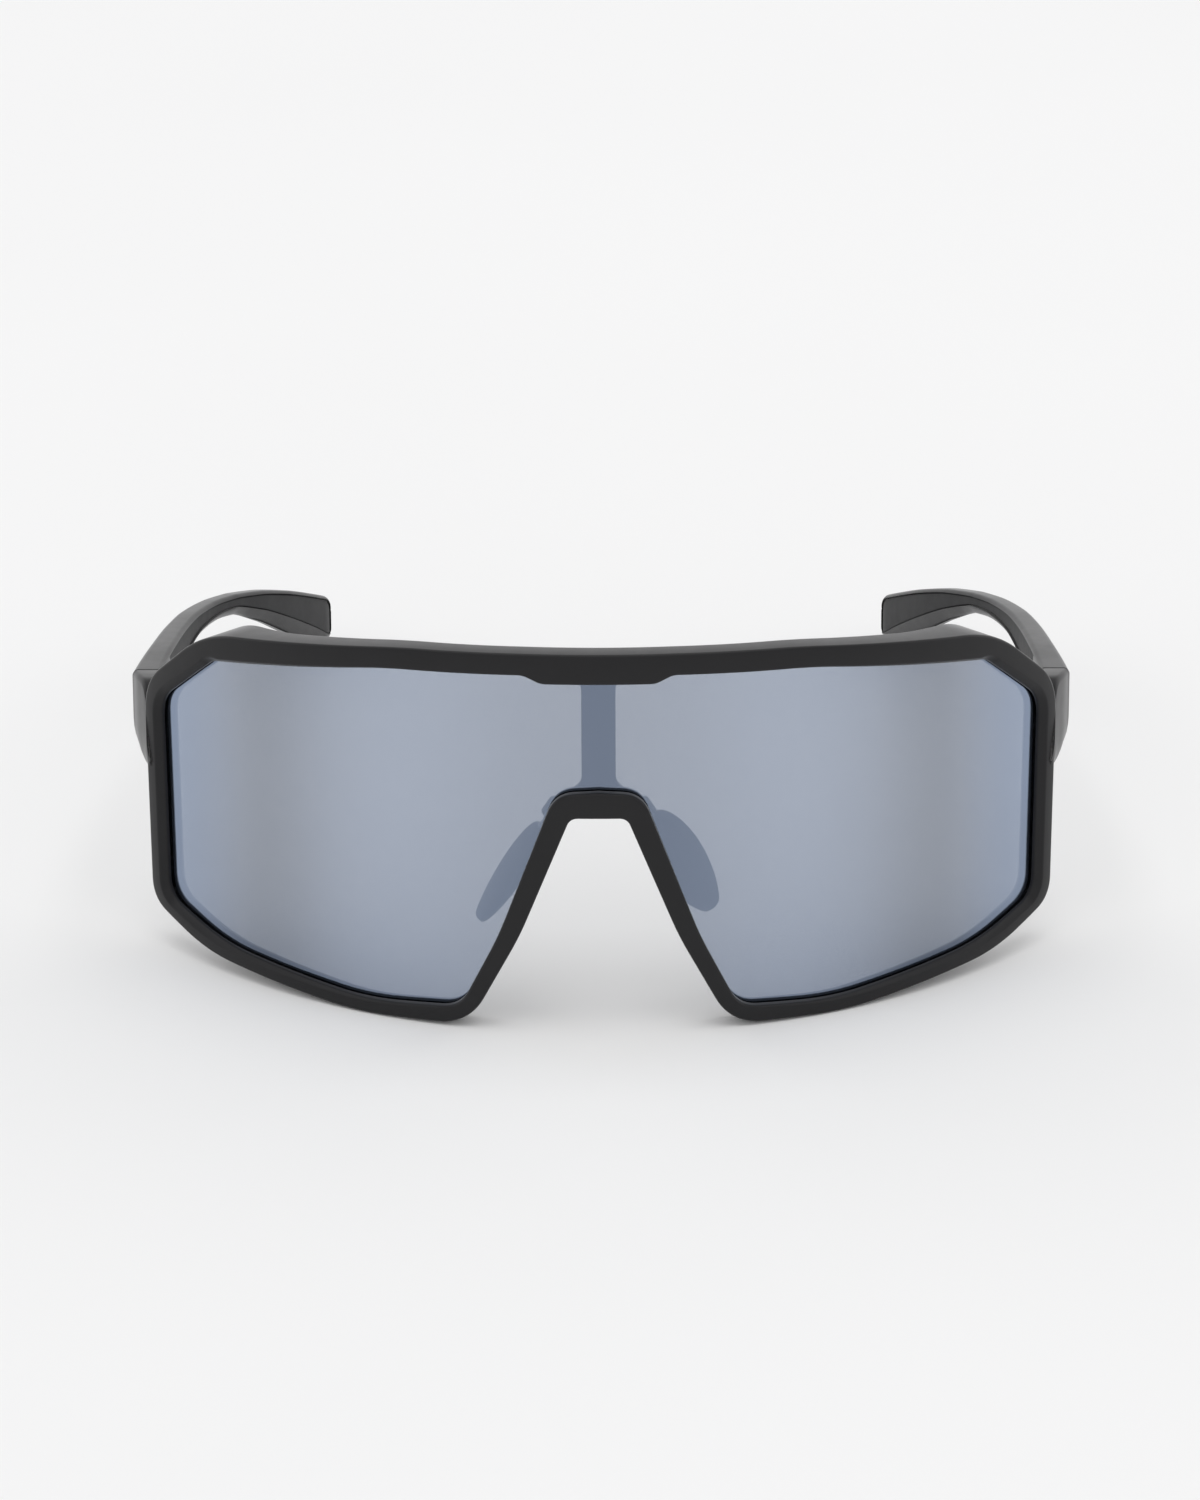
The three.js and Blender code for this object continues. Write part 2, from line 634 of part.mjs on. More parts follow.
function carrierScrewHoles() {
  return Object.values(CARRIER_SCREW.rows).map((height) => {
    const from = carrierScrewPlace(height);
    const depth = CARRIER_SCREW.length + GAP;
    return rod(from, new THREE.Vector3(0, -1, 0), depth, CARRIER_SCREW.shank + GAP).rotateX(FRONT_TILT);
  });
}

function wireShape() {
  const start = PAD_PIVOT.clone().addScaledVector(PAD_AXIS, -WIRE_IN_BOSS);
  return rod(start, PAD_AXIS, WIRE_IN_BOSS + WIRE_IN_PAD, WIRE_RADIUS);
}

// A soft pad: rounded sections strung along its wire, turned about it by turn.
function padShape(turn, start) {
  const facing = PAD_FACING.clone().addScaledVector(PAD_AXIS, -PAD_FACING.dot(PAD_AXIS)).normalize();
  facing.applyAxisAngle(PAD_AXIS, turn);
  const across = new THREE.Vector3().crossVectors(PAD_AXIS, facing);
  const STATIONS = 12;
  const SIDES = 14;
  const sections = Array.from({ length: STATIONS + 1 }, (_, i) => {
    const share = i / STATIONS;
    const swell = Math.sqrt(Math.sin(Math.PI * (0.06 + 0.9 * share ** 0.85)));
    const middle = PAD_PIVOT.clone().addScaledVector(PAD_AXIS, start + PAD_LENGTH * share);
    return Array.from({ length: SIDES }, (_, k) => {
      const angle = (2 * Math.PI * k) / SIDES;
      return middle
        .clone()
        .addScaledVector(across, (PAD_WIDTH / 2) * swell * Math.cos(angle))
        .addScaledVector(facing, (PAD_THICKNESS / 2) * Math.sqrt(swell) * Math.sin(angle));
    });
  });
  const socket = rod(PAD_PIVOT, PAD_AXIS, WIRE_IN_PAD + GAP, WIRE_RADIUS + GAP);
  return carve(loft(sections), { cut: [socket] });
}

// ---------------------------------------------------------------- assembly

const glasses = new THREE.Group();
glasses.rotation.x = -STANDING_PITCH;
glasses.updateMatrix();

function lowestStanding(geometry) {
  const stood = geometry.clone().applyMatrix4(glasses.matrix);
  stood.computeBoundingBox();
  return stood.boundingBox.min.z;
}

const frontBlank = rimShape();
const templeBlank = templeShape();
const tableHeight = Math.max(lowestStanding(frontBlank), lowestStanding(templeBlank)) + FOOT_TRIM;
const belowTable = block([-200, -200, tableHeight - 60], [200, 300, tableHeight]).applyMatrix4(
  glasses.matrix.clone().invert(),
);

function frontShape() {
  const lug = lugShape();
  const cuts = [leafPocket(-1), barrelRoom(), ...leafScrewHoles(-1, GAP)];
  return carve(frontBlank, {
    added: [lug, mirrored(lug)],
    cut: [...cuts, ...cuts.map(mirrored), ...carrierScrewHoles(), belowTable],
  });
}

function add(name, geometry, material) {
  const mesh = new THREE.Mesh(geometry, material);
  mesh.name = name;
  glasses.add(mesh);
}

function addPair(name, geometry, material) {
  add(`${name}_left`, geometry, material);
  add(`${name}_right`, mirrored(geometry), material);
}

add("front_frame", frontShape(), MATERIALS.satinBlack);
add("shield_lens", lensShape(), MATERIALS.mirrorLens);

add("nose_carrier", carrierShape(), MATERIALS.satinBlack);
for (const [row, height] of Object.entries(CARRIER_SCREW.rows)) {
  add(`carrier_screw_${row}`, carrierScrewShape(height), MATERIALS.screwSteel);
}
addPair("nose_wire", wireShape().rotateX(FRONT_TILT), MATERIALS.wireSteel);
const pads = {
  left: padShape(PAD_TURN.left, PAD_START.left).rotateX(FRONT_TILT),
  right: padShape(PAD_TURN.right, PAD_START.right).rotateX(FRONT_TILT),
};
add("nose_pad_left", pads.left, MATERIALS.silicone);
add("nose_pad_right", mirrored(pads.right), MATERIALS.silicone);

addPair("temple", carve(templeBlank, { cut: [belowTable] }), MATERIALS.satinBlack);
addPair("temple_grip", gripShape(), MATERIALS.softGrip);

addPair("front_leaf", leafShape(-1), MATERIALS.hingeSteel);
addPair("temple_leaf", leafShape(1), MATERIALS.hingeSteel);
addPair("hinge_screw", hingeScrewShape(), MATERIALS.screwSteel);
for (const [owner, towards] of [["front", -1], ["temple", 1]]) {
  leafScrewPlaces(towards).forEach((place, i) => {
    addPair(`${owner}_leaf_screw_${i + 1}`, leafScrewShape(place), MATERIALS.screwSteel);
  });
}

glasses.updateMatrixWorld(true);
const box = new THREE.Box3().setFromObject(glasses, true);
glasses.position.set(0, -(box.min.y + box.max.y) / 2, -tableHeight);

export default glasses;
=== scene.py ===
"""Wraparound shield sunglasses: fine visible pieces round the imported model, with a plain studio.

Shapes are worked out in millimetres in the wearing frame, where +X is the wearer's left, +Y runs
from the lens to the ears and +Z is up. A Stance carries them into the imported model's frame.
"""

from __future__ import annotations

import json
import logging
import math
from dataclasses import dataclass, field, replace
from enum import Enum
from typing import Iterable, Sequence

import bmesh
import bpy
from mathutils import Matrix, Quaternion, Vector


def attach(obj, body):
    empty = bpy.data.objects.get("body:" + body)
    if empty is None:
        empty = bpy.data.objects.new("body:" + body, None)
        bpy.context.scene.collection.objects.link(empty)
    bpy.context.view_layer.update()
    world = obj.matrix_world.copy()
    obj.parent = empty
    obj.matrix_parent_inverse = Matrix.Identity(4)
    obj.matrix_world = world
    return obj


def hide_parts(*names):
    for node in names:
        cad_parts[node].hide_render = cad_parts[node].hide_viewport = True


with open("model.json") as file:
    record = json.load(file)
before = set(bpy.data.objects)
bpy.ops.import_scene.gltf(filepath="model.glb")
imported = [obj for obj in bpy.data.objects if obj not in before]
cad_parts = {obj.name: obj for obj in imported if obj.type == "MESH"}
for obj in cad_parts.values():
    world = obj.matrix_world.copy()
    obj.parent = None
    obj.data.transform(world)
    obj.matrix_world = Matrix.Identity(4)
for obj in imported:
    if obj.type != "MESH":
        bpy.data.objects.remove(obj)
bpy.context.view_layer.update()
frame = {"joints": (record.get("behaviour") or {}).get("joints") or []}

LOG = logging.getLogger("sunglasses")
MM = 0.001
GAP = 0.3  # play between touching pieces, in millimetres
UP = Vector((0, 0, 1))


# ------------------------------------------------------------------ where things stand


class Side(Enum):
    """Which side of the wearer a piece is on, with the sign of its X."""

    LEFT = 1
    RIGHT = -1

    @property
    def word(self) -> str:
        """The side's name as it stands at the end of a node's name."""
        return self.name.lower()


@dataclass(frozen=True)
class Stance:
    """How the open glasses stand on the table.

    Attributes:
        pitch: angle by which the temples slope down to the tips, in degrees.
        tilt: angle by which the bottom of the front leans towards the face, in degrees.
        hinge: where the left hinge's middle is, in the wearing frame.
    """

    pitch: float = 12.7
    tilt: float = 7.0
    hinge: Vector = field(default_factory=lambda: Vector((68.9, 39.15, -1.9)))

    def worn_to_table(self) -> Matrix:
        """Finds the move from the wearing frame, in millimetres, to the table, in metres.

        Returns:
            The matrix that turns the glasses down and sets the left hinge on its packed joint.
        """
        turn = Matrix.Rotation(-math.radians(self.pitch), 4, "X")
        joint = next(j for j in frame["joints"] if j["name"] == "temple_fold_left")
        shift = Vector(joint["pos_m"]) - (turn @ self.hinge) * MM
        return Matrix.Translation(shift) @ turn @ Matrix.Scale(MM, 4)

    def lean(self) -> Matrix:
        """The turn that leans the front, in the wearing frame."""
        return Matrix.Rotation(math.radians(self.tilt), 4, "X")


@dataclass(frozen=True)
class Wrap:
    """The upright cylinder that the front is bent round.

    Attributes:
        radius: of the lens's front surface.
    """

    radius: float = 94.0

    def point(self, u: float, w: float, depth: float) -> Vector:
        """Places a point of the front.

        Args:
            u: arc length from the middle, along the lens's front surface.
            w: height over the lens's middle.
            depth: how far behind the lens's front surface.

        Returns:
            The point, in the front's own upright frame.
        """
        angle = u / self.radius
        reach = self.radius - depth
        return Vector((reach * math.sin(angle), self.radius - reach * math.cos(angle), w))


STANCE = Stance()
WRAP = Wrap()


# ------------------------------------------------------------------ shells and solids


@dataclass
class Shell:
    """A closed surface, in millimetres, before it becomes an object.

    Attributes:
        points: the corners.
        faces: indices of each face's corners.
    """

    points: list[Vector]
    faces: list[tuple[int, ...]]

    def moved(self, matrix: Matrix) -> Shell:
        """The same shell after a move that doesn't mirror it."""
        return Shell([matrix @ p for p in self.points], self.faces)

    def on(self, side: Side) -> Shell:
        """The shell on a side, mirrored for the right one.

        Args:
            side: where the shell is wanted. It is drawn on the left.

        Returns:
            This shell for the left side, or its mirror image with its faces turned back.
        """
        if side is Side.LEFT:
            return self
        flipped = [Vector((-p.x, p.y, p.z)) for p in self.points]
        return Shell(flipped, [tuple(reversed(f)) for f in self.faces])

    def solid(self, name: str) -> bpy.types.Object:
        """Makes the shell an object, still in millimetres.

        Args:
            name: the object's name.

        Returns:
            The object, with its faces pointing out.
        """
        mesh = bpy.data.meshes.new(name)
        mesh.from_pydata([tuple(p) for p in self.points], [], self.faces)
        edit = bmesh.new()
        edit.from_mesh(mesh)
        bmesh.ops.recalc_face_normals(edit, faces=edit.faces)
        edit.to_mesh(mesh)
        edit.free()
        made = bpy.data.objects.new(name, mesh)
        bpy.context.scene.collection.objects.link(made)
        return made


class Shaper:
    """The ways in which shells are drawn and solids are joined and cut."""

    @staticmethod
    def skin(sections: Sequence[Sequence[Vector]], closed: bool) -> Shell:
        """Stretches a skin over a row of sections.

        Args:
            sections: closed outlines with as many points each.
            closed: whether the last section joins the first. If not, both ends get a cap.

        Returns:
            The shell.
        """
        rows, columns = len(sections), len(sections[0])
        faces: list[tuple[int, ...]] = []
        for i in range(rows if closed else rows - 1):
            a, b = i * columns, ((i + 1) % rows) * columns
            for j in range(columns):
                after = (j + 1) % columns
                faces.append((a + j, a + after, b + after, b + j))
        if not closed:
            faces.append(tuple(reversed(range(columns))))
            faces.append(tuple(range((rows - 1) * columns, rows * columns)))
        return Shell([p for section in sections for p in section], faces)

    @staticmethod
    def turned(profile: Sequence[tuple[float, float]], sides: int = 40) -> Shell:
        """Turns a profile round the Y axis, as on a lathe.

        Args:
            profile: radius and height of each point. The ends are closed by flat caps.
            sides: how many steps go round.

        Returns:
            The shell.
        """
        angles = [2 * math.pi * k / sides for k in range(sides)]
        rings = []
        for radius, y in profile:
            rings.append([Vector((radius * math.sin(a), y, radius * math.cos(a))) for a in angles])
        return Shaper.skin(rings, closed=False)

    @staticmethod
    def rod(
        start: Vector, along: Vector, length: float, radius: float, edge: float = 0.0
    ) -> Shell:
        """Draws a round bar.

        Args:
            start: middle of the first end.
            along: the bar's direction.
            length: from end to end.
            radius: of the bar.
            edge: chamfer at both ends.

        Returns:
            The shell.
        """
        profile = [(radius, 0.0), (radius, length)]
        if edge:
            end = radius - edge
            profile = [(end, 0.0), (radius, edge), (radius, length - edge), (end, length)]
        turn = Vector((0, 1, 0)).rotation_difference(along).to_matrix().to_4x4()
        return Shaper.turned(profile).moved(Matrix.Translation(start) @ turn)

    @staticmethod
    def block(low: Sequence[float], high: Sequence[float], edge: float = 0.0) -> Shell:
        """Draws a box, with chamfered edges along X if edge is given.

        Args:
            low: lowest corner.
            high: highest corner.
            edge: chamfer.

        Returns:
            The shell.
        """

        def outline(x: float, inset: float) -> list[Vector]:
            """The box's outline across X, taken in by an inset."""
            y0, z0, y1, z1 = low[1] + inset, low[2] + inset, high[1] - inset, high[2] - inset
            return [Vector((x, y, z)) for y, z in ((y0, z0), (y1, z0), (y1, z1), (y0, z1))]

        rows = [outline(low[0], edge), outline(high[0], edge)]
        if edge:
            rows[1:1] = [outline(low[0] + edge, 0), outline(high[0] - edge, 0)]
        return Shaper.skin(rows, closed=False)

    @staticmethod
    def combine(base: bpy.types.Object, others: Iterable[Shell], operation: str) -> None:
        """Joins shells onto a solid, or cuts them away from it.

        Args:
            base: the solid that is changed.
            others: what is joined or cut.
            operation: UNION or DIFFERENCE.
        """
        for shell in others:
            tool = shell.solid("tool")
            change = base.modifiers.new("change", "BOOLEAN")
            change.operation = operation
            change.solver = "MANIFOLD"
            change.object = tool
            Shaper.settle(base)
            bpy.data.objects.remove(tool, do_unlink=True)

    @staticmethod
    def settle(solid: bpy.types.Object) -> None:
        """Makes a solid's modifiers part of its mesh.

        Args:
            solid: the object whose modifiers are applied.
        """
        bpy.context.view_layer.update()
        graph = bpy.context.evaluated_depsgraph_get()
        old = solid.data
        solid.data = bpy.data.meshes.new_from_object(solid.evaluated_get(graph))
        solid.modifiers.clear()
        bpy.data.meshes.remove(old)


class Outline:
    """Rounded outlines drawn in a plane."""

    @staticmethod
    def rounded(corners: Sequence[tuple[float, float, float]], steps: int) -> list[Vector]:
        """Rounds a closed chain of corners.

        Args:
            corners: across, up, and how far each corner's rounding reaches along both sides.
            steps: points on each rounding.

        Returns:
            The outline's points, steps + 1 for each corner.
        """
        points: list[Vector] = []
        count = len(corners)
        for i, (x, y, reach) in enumerate(corners):
            at = Vector((x, y))
            before = Vector(corners[i - 1][:2])
            after = Vector(corners[(i + 1) % count][:2])
            start = at.lerp(before, reach / max((before - at).length, 1e-9))
            end = at.lerp(after, reach / max((after - at).length, 1e-9))
            points += [Outline.bend(start, at, end, k / steps) for k in range(steps + 1)]
        return points

    @staticmethod
    def bend(start: Vector, corner: Vector, end: Vector, share: float) -> Vector:
        """The point a share of the way round the curve that a corner pulls out."""
        return start.lerp(corner, share).lerp(corner.lerp(end, share), share)

    @staticmethod
    def half(
        corners: Sequence[Sequence[float]], edge_steps: Sequence[int], steps: int
    ) -> list[Vector]:
        """Draws half an outline, from one point on the middle line to another.

        Args:
            corners: across, up and rounding reach of each corner.
            edge_steps: how many steps each straight edge takes.
            steps: steps on each rounding.

        Returns:
            The points, in order.
        """
        at = [Vector(c[:2]) for c in corners]
        points = [at[0]]
        for i in range(1, len(at)):
            last = i == len(at) - 1
            reach = corners[i][2]
            end = at[i] if last else at[i].lerp(at[i - 1], reach / (at[i] - at[i - 1]).length)
            start = points[-1]
            count = edge_steps[i - 1]
            points += [start.lerp(end, k / count) for k in range(1, count + 1)]
            if not last:
                leave = at[i].lerp(at[i + 1], reach / (at[i + 1] - at[i]).length)
                points += [Outline.bend(end, at[i], leave, k / steps) for k in range(1, steps + 1)]
        return points

    @staticmethod
    def whole(half: Sequence[Vector]) -> list[Vector]:
        """The closed outline that half an outline makes with its mirror image."""
        return list(half) + [Vector((-p.x, p.y)) for p in reversed(half[1:-1])]


class Spline:
    """A centripetal Catmull-Rom curve through points of any one length."""

    def __init__(self, knots: Sequence[Sequence[float]]) -> None:
        """Keeps the knots, with one more beyond each end in line with the last two.

        Args:
            knots: the points, in order.
        """
        first = [2 * a - b for a, b in zip(knots[0], knots[1])]
        last = [2 * a - b for a, b in zip(knots[-1], knots[-2])]
        self.knots = [first, *map(list, knots), last]

    def at(self, share: float) -> list[float]:
        """Finds a point of the curve.

        Args:
            share: 0 at the first knot and 1 at the last, with equal shares between knots.

        Returns:
            The point's coordinates.
        """
        spans = len(self.knots) - 3
        place = min(max(share, 0.0), 1.0) * spans
        i = min(int(place), spans - 1)
        t = place - i
        a, b, c, d = self.knots[i : i + 4]
        lengths = [max(math.dist(p, q) ** 0.5, 1e-4) for p, q in ((a, b), (b, c), (c, d))]
        return [self.blend(values, lengths, t) for values in zip(a, b, c, d)]

    @staticmethod
    def blend(values: Sequence[float], lengths: Sequence[float], t: float) -> float:
        """Blends one coordinate of four knots.

        Args:
            values: the coordinate at each knot.
            lengths: root of the distance between each two.
            t: share of the way from the second knot to the third.

        Returns:
            The coordinate at t.
        """
        p0, p1, p2, p3 = values
        d0, d1, d2 = lengths
        t1 = ((p1 - p0) / d0 - (p2 - p0) / (d0 + d1) + (p2 - p1) / d1) * d1
        t2 = ((p2 - p1) / d1 - (p3 - p1) / (d1 + d2) + (p3 - p2) / d2) * d1
        c2 = -3 * p1 + 3 * p2 - 2 * t1 - t2
        c3 = 2 * p1 - 2 * p2 + t1 + t2
        return p1 + t1 * t + c2 * t * t + c3 * t**3


def smooth(low: float, high: float, value: float) -> float:
    """An even rise from 0 at low to 1 at high, flat at both ends."""
    share = min(max((value - low) / (high - low), 0.0), 1.0)
    return share * share * (3 - 2 * share)


# ------------------------------------------------------------------ finishes


class Grain:
    """Builds node trees for finishes."""

    def __init__(self, name: str) -> None:
        """Starts a material with its shader and the object's own coordinates.

        Args:
            name: the material's name.
        """
        self.material = bpy.data.materials.new(name)
        self.material.use_nodes = True
        self.tree = self.material.node_tree
        self.shader = self.tree.nodes["Principled BSDF"]
        self.place = self.tree.nodes.new("ShaderNodeTexCoord").outputs["Object"]

    def node(self, kind: str, **values: object) -> bpy.types.Node:
        """Adds a node.

        Args:
            kind: the node's type.
            **values: what its properties are set to.

        Returns:
            The node.
        """
        made = self.tree.nodes.new(kind)
        for key, value in values.items():
            setattr(made, key, value)
        return made

    def link(self, source: bpy.types.NodeSocket, target: bpy.types.NodeSocket) -> None:
        """Joins two sockets."""
        self.tree.links.new(source, target)

    def noise(
        self, size: float, detail: float = 3.0, stretch: Sequence[float] = (1, 1, 1)
    ) -> bpy.types.NodeSocket:
        """Adds cloudy noise.

        Args:
            size: a cloud's size, in millimetres.
            detail: how much finer noise is in it.
            stretch: how the clouds are squeezed along each axis.

        Returns:
            The noise's value.
        """
        scaled = self.node("ShaderNodeMapping")
        scaled.inputs["Scale"].default_value = tuple(stretch)
        self.link(self.place, scaled.inputs["Vector"])
        made = self.node("ShaderNodeTexNoise")
        made.inputs["Scale"].default_value = 1 / (size * MM)
        made.inputs["Detail"].default_value = detail
        self.link(scaled.outputs["Vector"], made.inputs["Vector"])
        return made.outputs["Fac"]

    def spread(
        self, value: bpy.types.NodeSocket, ends: Sequence[float], limits: Sequence[float]
    ) -> bpy.types.NodeSocket:
        """Spreads a value over new limits.

        Args:
            value: the value.
            ends: where it reaches the limits.
            limits: results at both ends.

        Returns:
            The new value.
        """
        made = self.node("ShaderNodeMapRange")
        for name, number in zip(("From Min", "From Max", "To Min", "To Max"), (*ends, *limits)):
            made.inputs[name].default_value = number
        self.link(value, made.inputs["Value"])
        return made.outputs["Result"]

    def between(
        self, noise: bpy.types.NodeSocket, low: float, high: float
    ) -> bpy.types.NodeSocket:
        """Spreads the middle range of a noise over new limits.

        Args:
            noise: the noise.
            low: result where the noise is low.
            high: result where it is high.

        Returns:
            The new value.
        """
        return self.spread(noise, (0.3, 0.7), (low, high))

    def roughen(self, noise: bpy.types.NodeSocket, low: float, high: float) -> None:
        """Lets a noise vary the shader's roughness between two limits."""
        self.link(self.between(noise, low, high), self.shader.inputs["Roughness"])

    def tint(
        self, value: bpy.types.NodeSocket, dark: Sequence[float], light: Sequence[float]
    ) -> None:
        """Colours the surface between two colours.

        Args:
            value: which of them, from 0 to 1.
            dark: colour at 0.
            light: colour at 1.
        """
        ramp = self.node("ShaderNodeValToRGB")
        ramp.color_ramp.elements[0].position = 0.3
        ramp.color_ramp.elements[1].position = 0.7
        ramp.color_ramp.elements[0].color = (*dark, 1)
        ramp.color_ramp.elements[1].color = (*light, 1)
        self.link(value, ramp.inputs["Fac"])
        self.link(ramp.outputs["Color"], self.shader.inputs["Base Color"])

    def emboss(self, value: bpy.types.NodeSocket, height: float, strength: float) -> None:
        """Raises the surface by a value.

        Args:
            value: the relief.
            height: its height, in millimetres.
            strength: how much of it shows.
        """
        relief = self.node("ShaderNodeBump")
        relief.inputs["Strength"].default_value = strength
        relief.inputs["Distance"].default_value = height * MM
        self.link(value, relief.inputs["Height"])
        self.link(relief.outputs["Normal"], self.shader.inputs["Normal"])

    def set(self, **values: object) -> None:
        """Sets sockets of the shader, named in lower case with underscores.

        Args:
            **values: each socket's value.
        """
        sockets = {s.name.lower().replace(" ", "_"): s for s in self.shader.inputs}
        for key, value in values.items():
            sockets[key].default_value = value


@dataclass(frozen=True)
class Moulded:
    """Moulded plastic or rubber with a fine grain.

    Attributes:
        name: the material's name.
        dark: colour in the grain's low places.
        light: colour in its high places.
        roughness: lowest and highest roughness.
        grain: size of the grain, in millimetres.
        relief: height of the grain, in millimetres.
        gloss: specular level.
        sheen: soft light at grazing angles.
    """

    name: str
    dark: tuple[float, float, float]
    light: tuple[float, float, float]
    roughness: tuple[float, float]
    grain: float
    relief: float
    gloss: float = 0.35
    sheen: float = 0.0

    def material(self) -> bpy.types.Material:
        """Builds the finish.

        Returns:
            The material.
        """
        grain = Grain(self.name)
        grain.tint(grain.noise(6.0, 4), self.dark, self.light)
        grain.roughen(grain.noise(2.5, 5), *self.roughness)
        grain.emboss(grain.noise(self.grain, 2), self.relief, 0.6)
        grain.set(specular_ior_level=self.gloss, sheen_weight=self.sheen, sheen_roughness=0.3)
        return grain.material


@dataclass(frozen=True)
class Metal:
    """Turned or stamped steel with fine tool marks.

    Attributes:
        name: the material's name.
        dark: colour in the tool marks.
        light: colour between them.
        roughness: lowest and highest roughness.
        marks: squeeze of the noise along each axis, which draws the tool marks.
    """

    name: str
    dark: tuple[float, float, float]
    light: tuple[float, float, float]
    roughness: tuple[float, float]
    marks: tuple[float, float, float] = (1.0, 1.0, 6.0)

    def material(self) -> bpy.types.Material:
        """Builds the finish.

        Returns:
            The material.
        """
        grain = Grain(self.name)
        marks = grain.noise(0.25, 4, self.marks)
        grain.tint(marks, self.dark, self.light)
        grain.roughen(marks, *self.roughness)
        grain.emboss(marks, 0.01, 0.4)
        grain.set(metallic=1.0)
        return grain.material


@dataclass(frozen=True)
class Coating:
    """The part-mirror on the lens's front.

    Attributes:
        colour: its mean colour.
        bands: painted reflection, as how bright the coating's colour is made at distances
            from the middle, in millimetres. These upright bands stand in for the mirrored
            surroundings.
        cover: how much of what is behind it hides, in the middle and at the sides.
        edge: where its cover begins and ends to grow, in millimetres from the middle.
    """

    colour: tuple[float, float, float] = (0.246, 0.297, 0.396)
    # Painted reflection: these brightness factors copy the surroundings mirrored in the lens as
    # upright bands.
    bands: tuple[tuple[float, float], ...] = (
        (0, 0.95),
        (16, 1.02),
        (30, 1.24),
        (42, 1.1),
        (53, 0.57),
        (61, 1.06),
        (72, 1.3),
    )
    cover: tuple[float, float] = (0.72, 0.86)
    edge: tuple[float, float] = (57.0, 65.0)

    def material(self) -> bpy.types.Material:
        """Builds the finish.

        Returns:
            The material.
        """
        grain = Grain("lens_coating")
        away = self.distance(grain)
        ramp = grain.node("ShaderNodeValToRGB")
        ramp.color_ramp.interpolation = "B_SPLINE"
        stops = ramp.color_ramp.elements
        while len(stops) < len(self.bands):
            stops.new(0.5)
        reach = self.bands[-1][0]
        # Painted reflection: each stop scales the coating's colour by its band's brightness factor.
        for stop, (place, glow) in zip(stops, self.bands):
            stop.position = place / reach
            stop.color = (*(c * glow for c in self.colour), 1)
        grain.link(grain.spread(away, (0, reach * MM), (0, 1)), ramp.inputs["Fac"])
        grain.link(ramp.outputs["Color"], grain.shader.inputs["Base Color"])
        ends = (self.edge[0] * MM, self.edge[1] * MM)
        grain.link(grain.spread(away, ends, self.cover), grain.shader.inputs["Alpha"])
        grain.roughen(grain.noise(60.0, 1), 0.04, 0.09)
        grain.set(metallic=1.0)
        return grain.material

    def distance(self, grain: Grain) -> bpy.types.NodeSocket:
        """Measures how far a point is from the middle plane, give or take a little.

        Args:
            grain: the node tree.

        Returns:
            The distance, in metres.
        """
        across = grain.node("ShaderNodeSeparateXYZ")
        grain.link(grain.place, across.inputs["Vector"])
        away = grain.node("ShaderNodeMath", operation="ABSOLUTE")
        grain.link(across.outputs["X"], away.inputs[0])
        drift = grain.node("ShaderNodeMath", operation="MULTIPLY_ADD")
        grain.link(grain.noise(25.0, 2, (1, 0.4, 0.3)), drift.inputs[0])
        drift.inputs[1].default_value = 3 * MM
        grain.link(away.outputs[0], drift.inputs[2])
        return drift.outputs[0]


@dataclass(frozen=True)
class Smoke:
    """The grey plastic of the lens, seen at its edge and back.

    Attributes:
        dark: its deepest colour.
        light: its lightest colour.
        cover: how much of what is behind it hides.
    """

    dark: tuple[float, float, float] = (0.018, 0.021, 0.024)
    light: tuple[float, float, float] = (0.026, 0.03, 0.034)
    cover: float = 0.25

    def material(self) -> bpy.types.Material:
        """Builds the finish.

        Returns:
            The material.
        """
        grain = Grain("lens_smoke")
        grain.tint(grain.noise(30.0, 2), self.dark, self.light)
        grain.roughen(grain.noise(20.0, 2), 0.03, 0.07)
        grain.set(alpha=self.cover, ior=1.58)
        return grain.material


class Finish(Enum):
    """The finishes, each with the record's material slot that it stands for."""

    SATIN = (
        "satin_black",
        Moulded(
            "satin_nylon",
            dark=(0.0074, 0.0072, 0.0082),
            light=(0.0086, 0.0084, 0.0095),
            roughness=(0.4, 0.45),
            grain=0.16,
            relief=0.006,
            gloss=0.31,
            sheen=0.45,
        ),
    )
    GRIP = (
        "soft_grip",
        Moulded(
            "soft_rubber",
            dark=(0.018, 0.018, 0.019),
            light=(0.02, 0.02, 0.021),
            roughness=(0.62, 0.68),
            grain=0.3,
            relief=0.012,
            gloss=0.3,
            sheen=0.05,
        ),
    )
    SILICONE = (
        "silicone_pad",
        Moulded(
            "silicone",
            dark=(0.02, 0.021, 0.023),
            light=(0.028, 0.03, 0.032),
            roughness=(0.45, 0.6),
            grain=0.5,
            relief=0.008,
            gloss=0.4,
            sheen=0.05,
        ),
    )
    COATING = ("mirror_lens", Coating())
    SMOKE = ("mirror_lens", Smoke())
    BLACKENED = (
        "hinge_steel",
        Metal(
            "blackened_steel",
            dark=(0.05, 0.05, 0.053),
            light=(0.09, 0.09, 0.094),
            roughness=(0.3, 0.42),
        ),
    )
    BRIGHT = (
        "screw_steel",
        Metal(
            "bright_steel",
            dark=(0.4, 0.41, 0.43),
            light=(0.58, 0.59, 0.61),
            roughness=(0.2, 0.32),
        ),
    )
    WIRE = (
        "wire_steel",
        Metal(
            "drawn_wire",
            dark=(0.42, 0.42, 0.43),
            light=(0.6, 0.6, 0.61),
            roughness=(0.22, 0.3),
            marks=(1.0, 1.0, 0.2),
        ),
    )

    def __init__(self, slot: str, recipe: Moulded | Metal | Coating | Smoke) -> None:
        """Keeps the slot and the recipe, and no material yet.

        Args:
            slot: the record's material slot.
            recipe: how the material is built.
        """
        self.slot = slot
        self.recipe = recipe
        self.made: bpy.types.Material | None = None

    def material(self) -> bpy.types.Material:
        """The finish's one material, built when it is first asked for."""
        if self.made is None:
            self.made = self.recipe.material()
        return self.made


